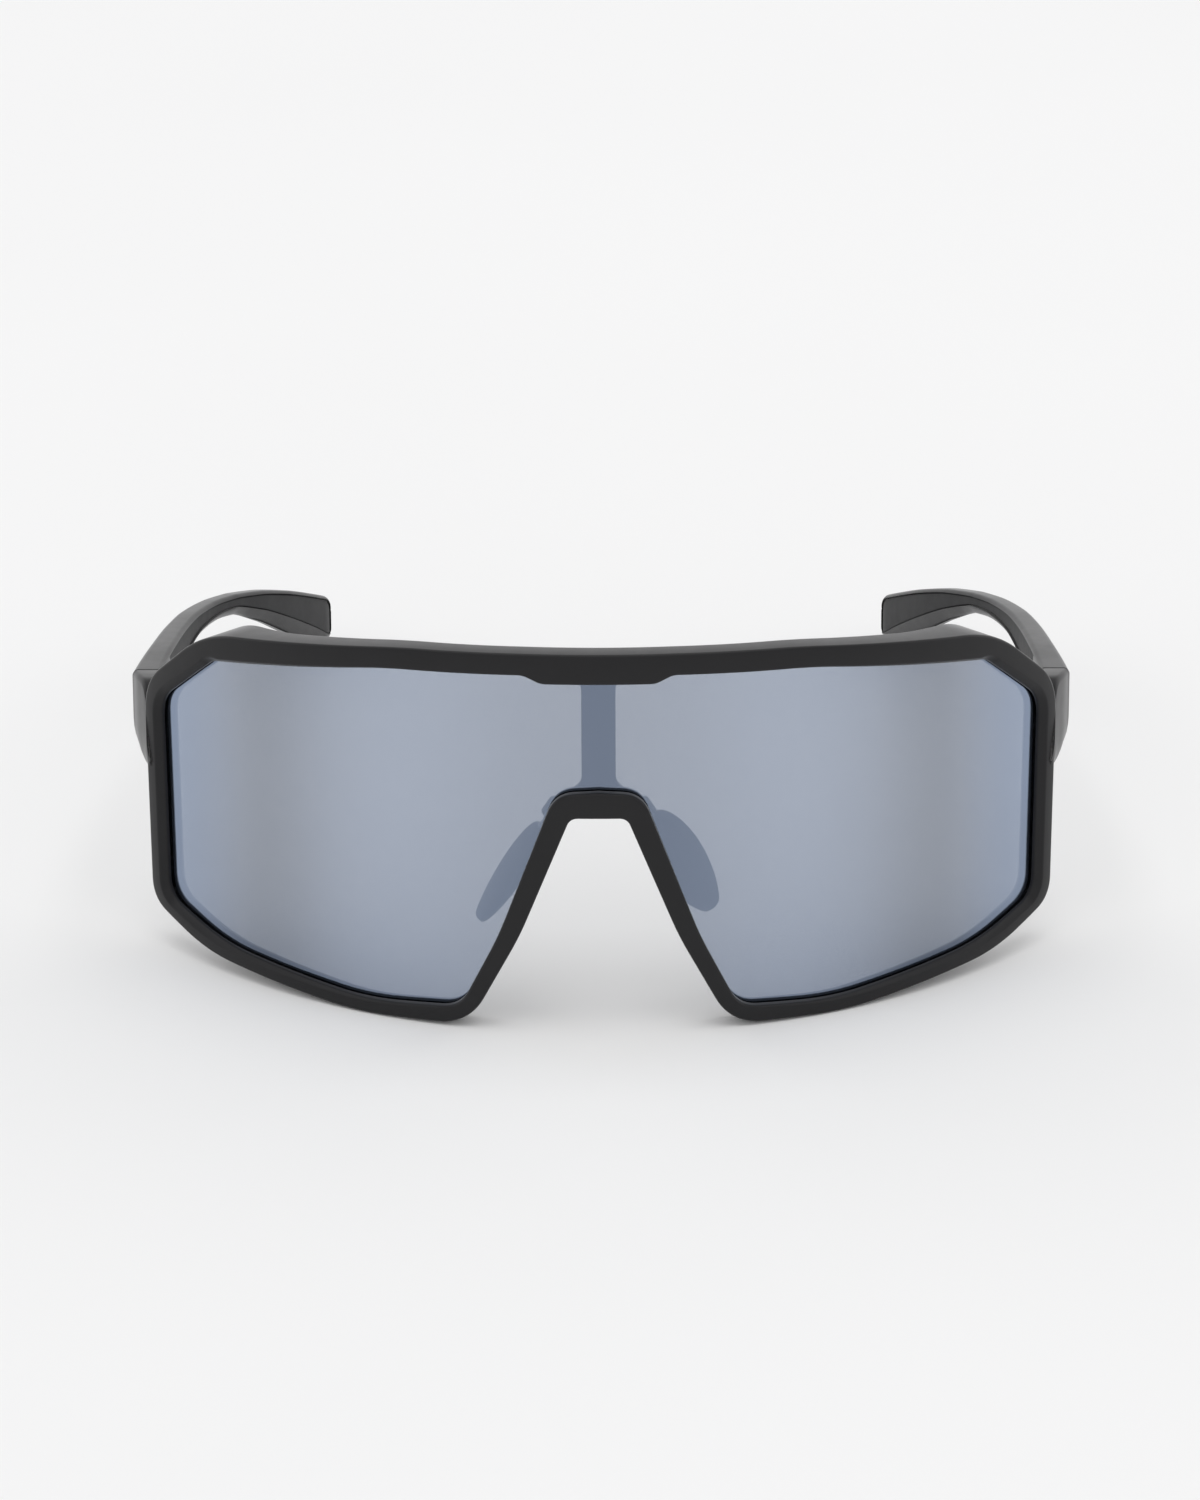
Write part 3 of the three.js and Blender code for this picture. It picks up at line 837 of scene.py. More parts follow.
def table() -> Shell:
    """Draws what lies under the table's surface, which the resting points are flattened by.

    Returns:
        The shell, in the wearing frame.
    """
    under = Shaper.block((-0.2, -0.2, -0.1), (0.2, 0.2, 0.0))
    return under.moved(STANCE.worn_to_table().inverted())


def present(
    solid: bpy.types.Object, finish: Finish, body: str, node: str, crease: float = 32.0
) -> None:
    """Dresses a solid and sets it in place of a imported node.

    Args:
        solid: the visible piece.
        finish: what it is made of.
        body: the body that it moves with.
        node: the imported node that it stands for.
        crease: edges sharper than this many degrees stay crisp.
    """
    mesh = solid.data
    mesh.transform(STANCE.worn_to_table())
    if not mesh.materials or mesh.materials[0] is not finish.material():
        mesh.materials.clear()
        mesh.materials.append(finish.material())
    mesh.shade_smooth()
    mesh.set_sharp_from_angle(angle=math.radians(crease))
    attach(solid, body)
    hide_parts(node)
    LOG.info("%s: %d faces on %s", solid.name, len(mesh.polygons), body)


# ------------------------------------------------------------------ ribs of lugs and temples


@dataclass(frozen=True)
class Rib:
    """One section across a lug or temple.

    Attributes:
        x: outer side.
        y: how far back it stands.
        z0: bottom.
        z1: top.
        thickness: from the outer side to the inner one.
        belly: how far the rounding of the lower outer edge reaches up.
        heading: turn about the up axis, in radians.
        slope: how far the inner face's outward slope reaches up, over the bottom's rounding.
    """

    x: float
    y: float
    z0: float
    z1: float
    thickness: float
    belly: float
    heading: float = 0.0
    slope: float = 0.0

    BELLY_SHARE = 0.6
    SLOPE_ACROSS = 0.4
    SLOPE_ROUND = 0.6
    ARC = 7

    def outline(self, low: float, high: float, edge: float) -> list[Vector]:
        """Draws the rib's outline between two sides.

        Args:
            low: inner side, from the rib's outer side.
            high: outer side, from the rib's outer side.
            edge: rounding of the edges.

        Returns:
            The outline's points.
        """
        across = max(edge, min(self.belly, self.BELLY_SHARE * (high - low)))
        corners = [
            (low, self.z0, -1, -1, edge, edge),
            (high, self.z0, 1, -1, across, max(edge, self.belly)),
            (high, self.z1, 1, 1, edge, edge),
            (low, self.z1, -1, 1, edge, edge),
        ]
        points: list[tuple[float, float]] = []
        for i, (a, z, side, up, reach_a, reach_z) in enumerate(corners):
            for k in range(self.ARC + 1):
                turn = math.pi / 2 * (k / self.ARC if i % 2 else 1 - k / self.ARC)
                step_a, step_z = reach_a * (1 - math.sin(turn)), reach_z * (1 - math.cos(turn))
                points.append((a - side * step_a, z - up * step_z))
        if self.slope > 0:
            points[: self.ARC + 1] = self.foot(points[: self.ARC + 1], low, edge)
        return [self.spot(*p) for p in points]

    def foot(
        self, arc: list[tuple[float, float]], low: float, edge: float
    ) -> list[tuple[float, float]]:
        """Draws the inner slope over the rib's bottom.

        Args:
            arc: the rounding that stands there without a slope.
            low: inner side, from the rib's outer side.
            edge: the rounding's reach.

        Returns:
            As many points as the arc has, going over from it to the slope as that grows.
        """
        top = Vector((low, self.z0 + edge + self.slope))
        bottom = Vector((low + edge + self.SLOPE_ACROSS * self.slope, self.z0))
        down = (bottom - top).normalized() * self.SLOPE_ROUND
        above, beyond = Vector((0, self.SLOPE_ROUND)), Vector((self.SLOPE_ROUND, 0))
        half = (self.ARC + 1) // 2
        shares = [k / (half - 1) for k in range(half)]
        slope = [Outline.bend(top + above, top, top + down, share) for share in shares]
        slope += [Outline.bend(bottom - down, bottom, bottom + beyond, share) for share in shares]
        grown = min(1.0, self.slope)
        return [tuple(Vector(p).lerp(q, grown)) for p, q in zip(arc, slope)]

    def spot(self, across: float, z: float) -> Vector:
        """The place of a point across the rib and up."""
        turn = self.heading
        return Vector((self.x + across * math.cos(turn), self.y + across * math.sin(turn), z))


EDGE = 0.9  # rounding of the long edges of lugs and temples
SEAM = 0.18  # softening of the two ends that meet at a hinge


def seam_outline(rib: Rib) -> list[Vector]:
    """Draws the softened end of a lug or temple.

    Args:
        rib: the end's rib.

    Returns:
        The rib's outline, taken in all round.
    """
    taken_in = replace(rib, z0=rib.z0 + SEAM, z1=rib.z1 - SEAM)
    return taken_in.outline(SEAM - rib.thickness, -SEAM, EDGE - SEAM)


# ------------------------------------------------------------------ front


@dataclass
class Front:
    """The full rim with its hinge lugs.

    Attributes:
        lip: how far the rim stands ahead of the lens.
        groove: how deep the lens's groove is.
        lens: the lens's thickness.
        back: depth of the rim's back behind the lens's front, in the middle and at the sides.
        crown: how much deeper the back lies at the upper corners.
        rear: the upright part of the rim behind the lens, and the least thickness at its back.
        bevel: width of the bevel inside the front lip, in the middle and at the sides.
        corners: half of the rim, from the top to the nose bridge, as arc length, height and
            rounding reach of the outer edge and of the lens opening.
        lug_ribs: outer side, depth, bottom, top, thickness and belly across a lug.
    """

    lip: float = 1.8
    groove: float = 1.3
    lens: float = 1.4
    back: tuple[float, float] = (2.4, 3.4)
    crown: float = 3.4
    rear: tuple[float, float] = (0.35, 0.9)
    bevel: tuple[float, float] = (0.3, 1.0)
    corners: tuple[tuple[tuple[float, float, float], tuple[float, float, float]], ...] = (
        ((0, 15.3, 0), (0, 10.6, 0)),
        ((8.6, 15.3, 0.8), (8.4, 10.6, 0.8)),
        ((11.3, 15.3, 0.8), (11.0, 11.9, 0.8)),
        ((30, 15.1, 4), (32, 11.6, 4)),
        ((64, 12.2, 6), (63.3, 7.7, 1.2)),
        ((78.6, 1.2, 5), (75.4, -0.9, 3)),
        ((78.6, -34.7, 3.4), (75.4, -33.6, 3.2)),
        ((66, -40.3, 5), (63, -38.4, 5)),
        ((38, -44.4, 5), (36.5, -42.3, 5)),
        ((19.8, -44.4, 5), (21.2, -41.7, 3)),
        ((11.9, -29.6, 3), (15.2, -29.8, 3)),
        ((4.2, -10.4, 1.2), (6.5, -6.7, 3)),
        ((0, -10.4, 0), (0, -6.3, 0)),
    )
    lug_ribs: tuple[tuple[float, ...], ...] = (
        (70.9, 29.9, -8.2, 2.2, 1.3, 3.5),
        (71.25, 30.9, -9.8, 3.8, 2.05, 5),
        (71.8, 32.4, -10.4, 4.6, 3.5, 6),
        (72.75, 35.0, -10.0, 4.8, 3.95, 6),
        (73.9, 39.0, -8.8, 4.8, 4.7, 6),
    )
    step: float = 1.6
    turns: int = 12

    def loops(self) -> tuple[list[Vector], list[Vector]]:
        """Draws the rim's outer edge and the lens opening.

        Returns:
            Both closed outlines, with points that match.
        """
        outer = [c[0] for c in self.corners]
        inner = [c[1] for c in self.corners]
        lengths = [math.dist(a[:2], b[:2]) for a, b in zip(outer, outer[1:])]
        steps = [max(1, round(length / self.step)) for length in lengths]
        return tuple(Outline.whole(Outline.half(c, steps, self.turns)) for c in (outer, inner))

    @staticmethod
    def along(limits: tuple[float, float], u: float) -> float:
        """A size at arc length u, from its sizes in the middle and at the sides."""
        return limits[0] + (limits[1] - limits[0]) * smooth(20, 70, abs(u))

    def section(self, width: float, outer: Vector) -> list[Vector]:
        """Draws a section across the rim.

        Behind the lens the rim slopes outwards as steeply as the front is turned there.

        Args:
            width: from the lens opening to the outer edge.
            outer: arc length and height of the outer edge.

        Returns:
            Points as distance from the opening and depth.
        """
        deeper = smooth(48, 68, abs(outer.x)) * smooth(-4, 3, outer.y)
        back = self.along(self.back, outer.x) + self.crown * deeper
        bevel = self.along(self.bevel, outer.x)
        room = self.lens + GAP
        lip, wall = room + self.rear[0], self.rear[1]
        slope = (back - lip) * math.tan(abs(outer.x) / WRAP.radius)
        undercut = min(max(slope, 0.4), width - wall)
        corners = [
            (bevel, -self.lip, 0.25),
            (width, -self.lip, 0.5),
            (width, back, 0.4),
            (undercut, back, 0.15),
            (0, lip, 0.1),
            (0, room, 0.05),
            (self.groove, room, 0.05),
            (self.groove, -GAP, 0.05),
            (0, -GAP, 0.05),
            (0, bevel - self.lip, 0.25),
        ]
        return Outline.rounded(corners, 4)

    def rim(self) -> Shell:
        """Bends the rim's sections round the wrap.

        Returns:
            The closed rim.
        """
        sections = []
        for outer, inner in zip(*self.loops()):
            width = (outer - inner).length
            across = (outer - inner) / width
            section = [(inner + across * p.x, p.y) for p in self.section(width, outer)]
            sections.append([WRAP.point(p.x, p.y, depth) for p, depth in section])
        return Shaper.skin(sections, closed=True).moved(STANCE.lean())

    def lug(self) -> Shell:
        """Draws the left lug, with its rear edge softened.

        Returns:
            The shell, which reaches into the rim.
        """
        spline = Spline(self.lug_ribs)
        ribs = [Rib(*spline.at(k / 24)) for k in range(25)]
        last = ribs[-1]
        rows = [rib.outline(-rib.thickness, 0, EDGE) for rib in ribs[:-1]]
        rows.append(replace(last, y=last.y - SEAM).outline(-last.thickness, 0, EDGE))
        rows.append(seam_outline(last))
        return Shaper.skin(rows, closed=False)

    def build(self) -> None:
        """Makes the front and sets it in place."""
        solid = self.rim().solid("front")
        Shaper.combine(solid, [self.lug().on(side) for side in Side], "UNION")
        hinge = Hinge()
        cuts = [hinge.pocket(-1), hinge.room()]
        Shaper.combine(solid, [cut.on(side) for cut in cuts for side in Side], "DIFFERENCE")
        Shaper.combine(solid, [table()], "DIFFERENCE")
        present(solid, Finish.SATIN, "front", "front_frame")

    def opening(self, u: float, edge: Sequence[Vector]) -> tuple[float, float]:
        """Finds where an upright line crosses a closed outline.

        Args:
            u: arc length of the line.
            edge: the outline.

        Returns:
            The lowest and the highest crossing.
        """
        found = []
        for a, b in zip(edge, [*edge[1:], edge[0]]):
            if (a.x - u) * (b.x - u) <= 0 and a.x != b.x:
                found.append(a.y + (b.y - a.y) * (u - a.x) / (b.x - a.x))
        return min(found), max(found)


@dataclass
class ShieldLens:
    """The one-piece lens.

    Attributes:
        front: the rim that holds it.
        bite: how far its edge reaches into the groove.
        columns: how many strips the lens is drawn with.
    """

    front: Front
    bite: float = 1.0
    columns: int = 240

    def build(self) -> None:
        """Makes the lens, coated on its front, and sets it in place."""
        outer, inner = self.front.loops()
        edge = [i + (o - i).normalized() * self.bite for o, i in zip(outer, inner)]
        reach = max(p.x for p in edge) - 0.1
        depth = self.front.lens
        quarter = 0.98 * math.pi / 2
        rows = []
        for k in range(self.columns + 1):
            u = reach * math.sin(quarter * (2 * k / self.columns - 1)) / math.sin(quarter)
            low, high = self.front.opening(u, edge)
            corners = ((low, 0), (high, 0), (high, depth), (low, depth))
            rows.append([WRAP.point(u, w, d) for w, d in corners])
        solid = Shaper.skin(rows, closed=False).moved(STANCE.lean()).solid("shield_lens_fine")
        mesh = solid.data
        mesh.materials.append(Finish.COATING.material())
        mesh.materials.append(Finish.SMOKE.material())
        for k, face in enumerate(mesh.polygons):
            face.material_index = 0 if k % 4 == 0 and k < 4 * self.columns else 1
        present(solid, Finish.COATING, "front", "shield_lens", crease=60)


# ------------------------------------------------------------------ hinges


@dataclass
class Hinge:
    """A barrel hinge with two leaves, screwed to a lug and a temple.

    Attributes:
        x: the pin's place across.
        y: the pin's place from front to back.
        z: the barrel's middle.
        knuckle: a knuckle's radius and height.
        space: play between knuckles.
        knuckles: how many there are. Odd ones belong to the front.
        pin: the hinge screw's radius.
        leaf: thickness and length of a leaf.
        screw: shank radius, head radius, head height and length of a leaf screw.
        rise: how far the leaf screws sit over and under the middle.
        reach: how far they sit from the pin.
        head: the hinge screw's head radius and head height.
        over: how much longer its shank is than the barrel.
        proud: how far a screw's head stands off what is under it.
        clear: room round the knuckles.
    """

    x: float = 68.9
    y: float = 39.15
    z: float = -1.9
    knuckle: tuple[float, float] = (1.5, 1.2)
    space: float = 0.2
    knuckles: int = 5
    pin: float = 0.65
    leaf: tuple[float, float] = (0.8, 6.2)
    screw: tuple[float, float, float, float] = (0.45, 0.95, 0.45, 2.6)
    rise: float = 1.8
    reach: float = 4.0
    head: tuple[float, float] = (1.25, 0.7)
    over: float = 0.35
    proud: float = 0.15
    clear: float = 0.4

    @property
    def height(self) -> float:
        """The barrel's height."""
        return self.knuckles * self.knuckle[1] + (self.knuckles - 1) * self.space

    @property
    def face(self) -> float:
        """Where the leaves' inner faces lie across."""
        return self.x + GAP

    def pocket(self, towards: int) -> Shell:
        """Draws the pocket for a leaf.

        Args:
            towards: -1 for the lug's leaf and 1 for the temple's.

        Returns:
            What is cut from the lug or the temple.
        """
        half = self.height / 2 + GAP
        ends = sorted((self.y - towards, self.y + towards * (self.leaf[1] + GAP)))
        low = (self.face - 2, ends[0], self.z - half)
        high = (self.face + self.leaf[0] + GAP, ends[1], self.z + half)
        return Shaper.block(low, high)

    def room(self) -> Shell:
        """Draws the room for the barrel, open downwards.

        Returns:
            What is cut from the lug and the temple.
        """
        start = Vector((self.x, self.y, self.z - 12))
        length = 12 + self.height / 2 + 2 * GAP
        return Shaper.rod(start, UP, length, self.knuckle[0] + self.clear)

    def leaf_solid(self, name: str, towards: int, side: Side) -> bpy.types.Object:
        """Makes a leaf with its own knuckles.

        Args:
            name: the object's name.
            towards: -1 for the lug's leaf and 1 for the temple's.
            side: where it is.

        Returns:
            The object.
        """
        radius, tall = self.knuckle
        root = self.y + towards * (radius + self.clear)
        end = self.y + towards * self.leaf[1]
        half = self.height / 2
        far = self.face + self.leaf[0]
        low, high = (self.face, min(root, end), self.z - half), (far, max(root, end), self.z + half)
        plate = Shaper.block(low, high, 0.12)
        solid = plate.on(side).solid(name)
        parts = []
        for i in range(self.knuckles):
            if (i % 2 == 0) != (towards < 0):
                continue
            top = self.z + half - i * (tall + self.space)
            tab = sorted((self.y, root + towards * 0.3))
            foot = Vector((self.x, self.y, top - tall))
            parts.append(Shaper.rod(foot, UP, tall, radius, 0.1))
            parts.append(Shaper.block((self.face, tab[0], top - tall), (far, tab[1], top)))
        Shaper.combine(solid, [part.on(side) for part in parts], "UNION")
        under = Vector((self.x, self.y, self.z - self.height))
        bore = Shaper.rod(under, UP, 2 * self.height, self.pin + GAP)
        Shaper.combine(solid, [bore.on(side)], "DIFFERENCE")
        return solid

    def build(self, side: Side) -> None:
        """Makes a side's hinge and sets it in place.

        Args:
            side: which hinge.
        """
        word = side.word
        for owner, towards, body in (("front", -1, "front"), ("temple", 1, f"temple_{word}_body")):
            leaf = self.leaf_solid(f"{owner}_leaf_{word}_fine", towards, side)
            present(leaf, Finish.BLACKENED, body, f"{owner}_leaf_{word}")
            for i, row in enumerate((1, -1)):
                y, z = self.y + towards * self.reach, self.z + row * self.rise
                place = Vector((self.face - self.proud, y, z))
                turn = Matrix.Translation(place) @ Matrix.Rotation(math.pi / 2, 4, "Z")
                node = f"{owner}_leaf_screw_{i + 1}_{word}"
                Screw(*self.screw).make(node, turn, side, body)
        base = Vector((self.x, self.y, self.z - self.height / 2 - self.proud))
        turn = Matrix.Translation(base) @ Matrix.Rotation(-math.pi / 2, 4, "X")
        screw = Screw(self.pin, *self.head, self.height + self.over)
        screw.make(f"hinge_screw_{word}", turn, side, "front")


@dataclass
class Screw:
    """A slotted screw.

    Attributes:
        shank: the shank's radius.
        head: the head's radius.
        tall: the head's height.
        length: the shank's length.
    """

    shank: float
    head: float
    tall: float
    length: float

    def make(self, node: str, place: Matrix, side: Side, body: str) -> None:
        """Makes the screw and sets it in place.

        Args:
            node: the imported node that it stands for.
            place: where its head's underside goes, with the shank along -Y.
            side: the side it is on.
            body: what it moves with.
        """
        crown = []
        for angle in (0.0, 0.35, 0.7, 1.05, 1.4):
            out = self.head * (0.68 + 0.32 * math.cos(angle))
            crown.append((out, self.tall * (0.55 + 0.45 * math.sin(angle))))
        profile = [
            (self.shank * 0.6, -self.length),
            (self.shank, -self.length + self.shank * 0.8),
            (self.shank, 0.0),
            (self.head * 0.94, 0.0),
            (self.head, self.tall * 0.15),
            *crown,
            (self.head * 0.4, self.tall),
        ]
        solid = Shaper.turned(profile).moved(place).on(side).solid(f"{node}_fine")
        long, wide = self.head * 2, self.head * 0.14
        slot = Shaper.block((-long, self.tall * 0.5, -wide), (long, self.tall * 2, wide))
        Shaper.combine(solid, [slot.moved(place).on(side)], "DIFFERENCE")
        present(solid, Finish.BRIGHT, body, node)


# ------------------------------------------------------------------ temples


@dataclass
class Temple:
    """A temple with its soft inner grip.

    Attributes:
        side: which temple.
        ribs: outer side, depth, bottom, top, thickness and belly of each rib.
        tip: how far the tip's rounding reaches.
        slope: rise of the inner slope at the tip, as a share of the height.
        grip: where the grip begins and ends, as shares of the ribs.
        sunk: how far the grip lies below the hard plastic.
        soft: the grip's thickness.
        margin: hard plastic over and under the grip.
        play: how much further the grip's bed goes at each end, as a share of the ribs.
        steps: how many ribs the temple is drawn with.
    """

    side: Side
    ribs: tuple[tuple[float, ...], ...] = (
        (73.9, 39.3, -8.8, 4.8, 4.7, 6),
        (73.8, 46.5, -7.0, 5.0, 4.5, 5),
        (73.4, 57, -3.2, 5.4, 4.2, 3.2),
        (72.7, 75, 0.3, 5.6, 3.9, 2),
        (71.4, 88, 1.7, 5.7, 3.7, 1.4),
        (69.3, 99, 1.9, 5.5, 3.5, 1.2),
        (66.5, 108, 1.4, 5.1, 3.4, 1.4),
        (62.7, 118, -1.6, 4.0, 3.3, 2),
        (58.8, 129, -5.8, 2.0, 3.2, 2.4),
        (55.6, 140, -10.0, -0.5, 3.2, 2.6),
        (53.2, 150, -14.2, -2.9, 3.3, 2.8),
    )
    tip: float = 4.5
    slope: float = 0.28
    grip: tuple[float, float] = (0.15, 0.992)
    sunk: float = 0.35
    soft: float = 0.9
    margin: float = 0.6
    play: float = 0.004
    steps: int = 150

    def __post_init__(self) -> None:
        """Draws the two curves that the ribs follow, seen from above and from the side."""
        self.plan = Spline([(r[0], r[1], r[4]) for r in self.ribs])
        self.profile = Spline([(r[2], r[3], r[5]) for r in self.ribs])

    def rib(self, share: float) -> Rib:
        """Finds the rib at a share of the temple's length.

        Args:
            share: 0 at the hinge and 1 at the tip.

        Returns:
            The rib, square to the hinge at first and drawn together at the tip.
        """
        hinge = Hinge()
        x, y, thickness = self.plan.at(share)
        z0, z1, belly = self.profile.at(share)
        ahead, behind = self.plan.at(share + 0.002), self.plan.at(share - 0.002)
        swing = math.atan2(behind[0] - ahead[0], ahead[1] - behind[1])
        past = smooth(hinge.y + hinge.leaf[1], hinge.y + 2 * hinge.leaf[1], y)
        near = min(max(1 - (self.ribs[-1][1] - y) / self.tip, 0.0), 1.0)
        tuck = 0.7 * self.tip * (1 - math.sqrt(1 - near**2))
        slope = self.slope * (z1 - z0 - 2 * tuck) * smooth(75, 125, y)
        return Rib(x, y, z0 + tuck, z1 - tuck, thickness - 0.3 * tuck, belly, past * swing, slope)

    def row(self, start: float, end: float) -> list[Rib]:
        """Finds the ribs of a stretch, closer together towards the tip.

        Args:
            start: share of the length at which it begins.
            end: share at which it ends.

        Returns:
            The ribs.
        """
        shares = [1 - (1 - k / self.steps) ** 1.6 for k in range(self.steps + 1)]
        return [self.rib(start + (end - start) * share) for share in shares]

    def inlay(self, start: float, end: float, low: float, high: float, margin: float) -> Shell:
        """Draws what lies in the temple's inner face, above the slope.

        Args:
            start: share of the length at which it begins.
            end: share at which it ends.
            low: its inner side, from the temple's inner face.
            high: its outer side, from the temple's inner face.
            margin: hard plastic left under and over it.

        Returns:
            The shell.
        """
        rows = []
        for rib in self.row(start, end):
            bottom = rib.z0 + rib.slope + margin
            cut = replace(rib, z0=bottom, z1=rib.z1 - margin, belly=0, slope=0)
            rows.append(cut.outline(low - rib.thickness, high - rib.thickness, 0.3))
        return Shaper.skin(rows, closed=False)

    def body(self) -> bpy.types.Object:
        """Makes the hard part.

        Returns:
            The object, with the grip's bed and the hinge's pocket cut out of it.
        """
        first, *others = self.row(0, 1)
        rows = [seam_outline(first)]
        rows.append(replace(first, y=first.y + SEAM).outline(-first.thickness, 0, EDGE))
        beyond = [rib for rib in others if rib.y > first.y + 2 * SEAM]
        rows += [rib.outline(-rib.thickness, 0, EDGE) for rib in beyond]
        name = f"temple_{self.side.word}_fine"
        solid = Shaper.skin(rows, closed=False).on(self.side).solid(name)
        start, end = self.grip[0] - self.play, self.grip[1] + self.play
        bed = self.inlay(start, end, -2, self.sunk + self.soft + GAP, self.margin)
        hinge = Hinge()
        cuts = [cut.on(self.side) for cut in (bed, hinge.pocket(1), hinge.room())]
        Shaper.combine(solid, [*cuts, table()], "DIFFERENCE")
        return solid

    def pad(self) -> bpy.types.Object:
        """Makes the soft grip.

        Returns:
            The object.
        """
        inlay = self.inlay(*self.grip, self.sunk, self.sunk + self.soft, self.margin + 0.12)
        return inlay.on(self.side).solid(f"temple_grip_{self.side.word}_fine")

    def build(self) -> None:
        """Makes the temple and its grip and sets them in place."""
        word = self.side.word
        present(self.body(), Finish.SATIN, f"temple_{word}_body", f"temple_{word}")
        present(self.pad(), Finish.GRIP, f"temple_{word}_body", f"temple_grip_{word}")


# ------------------------------------------------------------------ nosepiece


@dataclass
class Nosepiece:
    """The carrier behind the lens with its two screws.

    Attributes:
        lens_back: from the lens's front to the carrier's front.
        thickness: the carrier's thickness.
        corners: half of its outline, as arc length, height and rounding reach.
        boss: radius and length of the wire's boss.
    """

    lens_back: float = 2.7
    thickness: float = 2.0
    corners: tuple[tuple[float, float, float], ...] = (
        (0, 13.8, 0),
        (5.6, 13.8, 0.9),
        (5.6, 11.6, 0.9),
        (2.65, 9.6, 1.3),
        (2.65, -6.4, 1.2),
        (4.5, -7.8, 1.0),
        (7.1, -9.7, 1.0),
        (8.9, -12.2, 0.6),
        (7.3, -13.5, 0.6),
        (4.1, -10.9, 1.2),
        (0, -9.8, 0),
    )
    boss: tuple[float, float] = (1.5, 2.8)

    def carrier(self) -> bpy.types.Object:
        """Makes the carrier's bent plate, which the wires' bosses are joined to afterwards.

        Returns:
            The object.
        """
        half = Outline.half(self.corners, [1, 1, 1, 14, 1, 1, 1, 1, 1, 2], 8)
        outline = Outline.whole(half)
        edit = bmesh.new()
        face = edit.faces.new([edit.verts.new((p.x, p.y, self.lens_back)) for p in outline])
        grown = bmesh.ops.extrude_face_region(edit, geom=[face])
        top = [v for v in grown["geom"] if isinstance(v, bmesh.types.BMVert)]
        bmesh.ops.translate(edit, verts=top, vec=(0, 0, self.thickness))
        bmesh.ops.recalc_face_normals(edit, faces=edit.faces)
        rims = [e for e in edit.edges if e.calc_face_angle(0) > 1.2]
        rims = [e for e in rims if abs(e.verts[0].co.z - e.verts[1].co.z) < 0.1]
        bmesh.ops.bevel(edit, geom=rims, offset=0.3, segments=3, profile=0.5, affect="EDGES")
        bmesh.ops.triangulate(edit, faces=[f for f in edit.faces if len(f.verts) > 4])
        edit.verts.ensure_lookup_table()
        lean = STANCE.lean()
        points = [lean @ WRAP.point(v.co.x, v.co.y, v.co.z) for v in edit.verts]
        faces = [tuple(v.index for v in f.verts) for f in edit.faces]
        edit.free()
        return Shell(points, faces).solid("nose_carrier_fine")

    def build(self) -> None:
        """Makes the nosepiece and sets it in place."""
        solid = self.carrier()
        pads = [NosePad(side) for side in Side]
        Shaper.combine(solid, [pad.boss(*self.boss) for pad in pads], "UNION")
        present(solid, Finish.SATIN, "front", "nose_carrier")
        behind = self.lens_back + self.thickness + 0.15
        for row, height in (("upper", 12.8), ("lower", -8.4)):
            place = STANCE.lean() @ Matrix.Translation(WRAP.point(0, height, behind))
            Screw(0.5, 1.0, 0.5, 4.0).make(f"carrier_screw_{row}", place, Side.LEFT, "front")
        for pad in pads:
            pad.build()


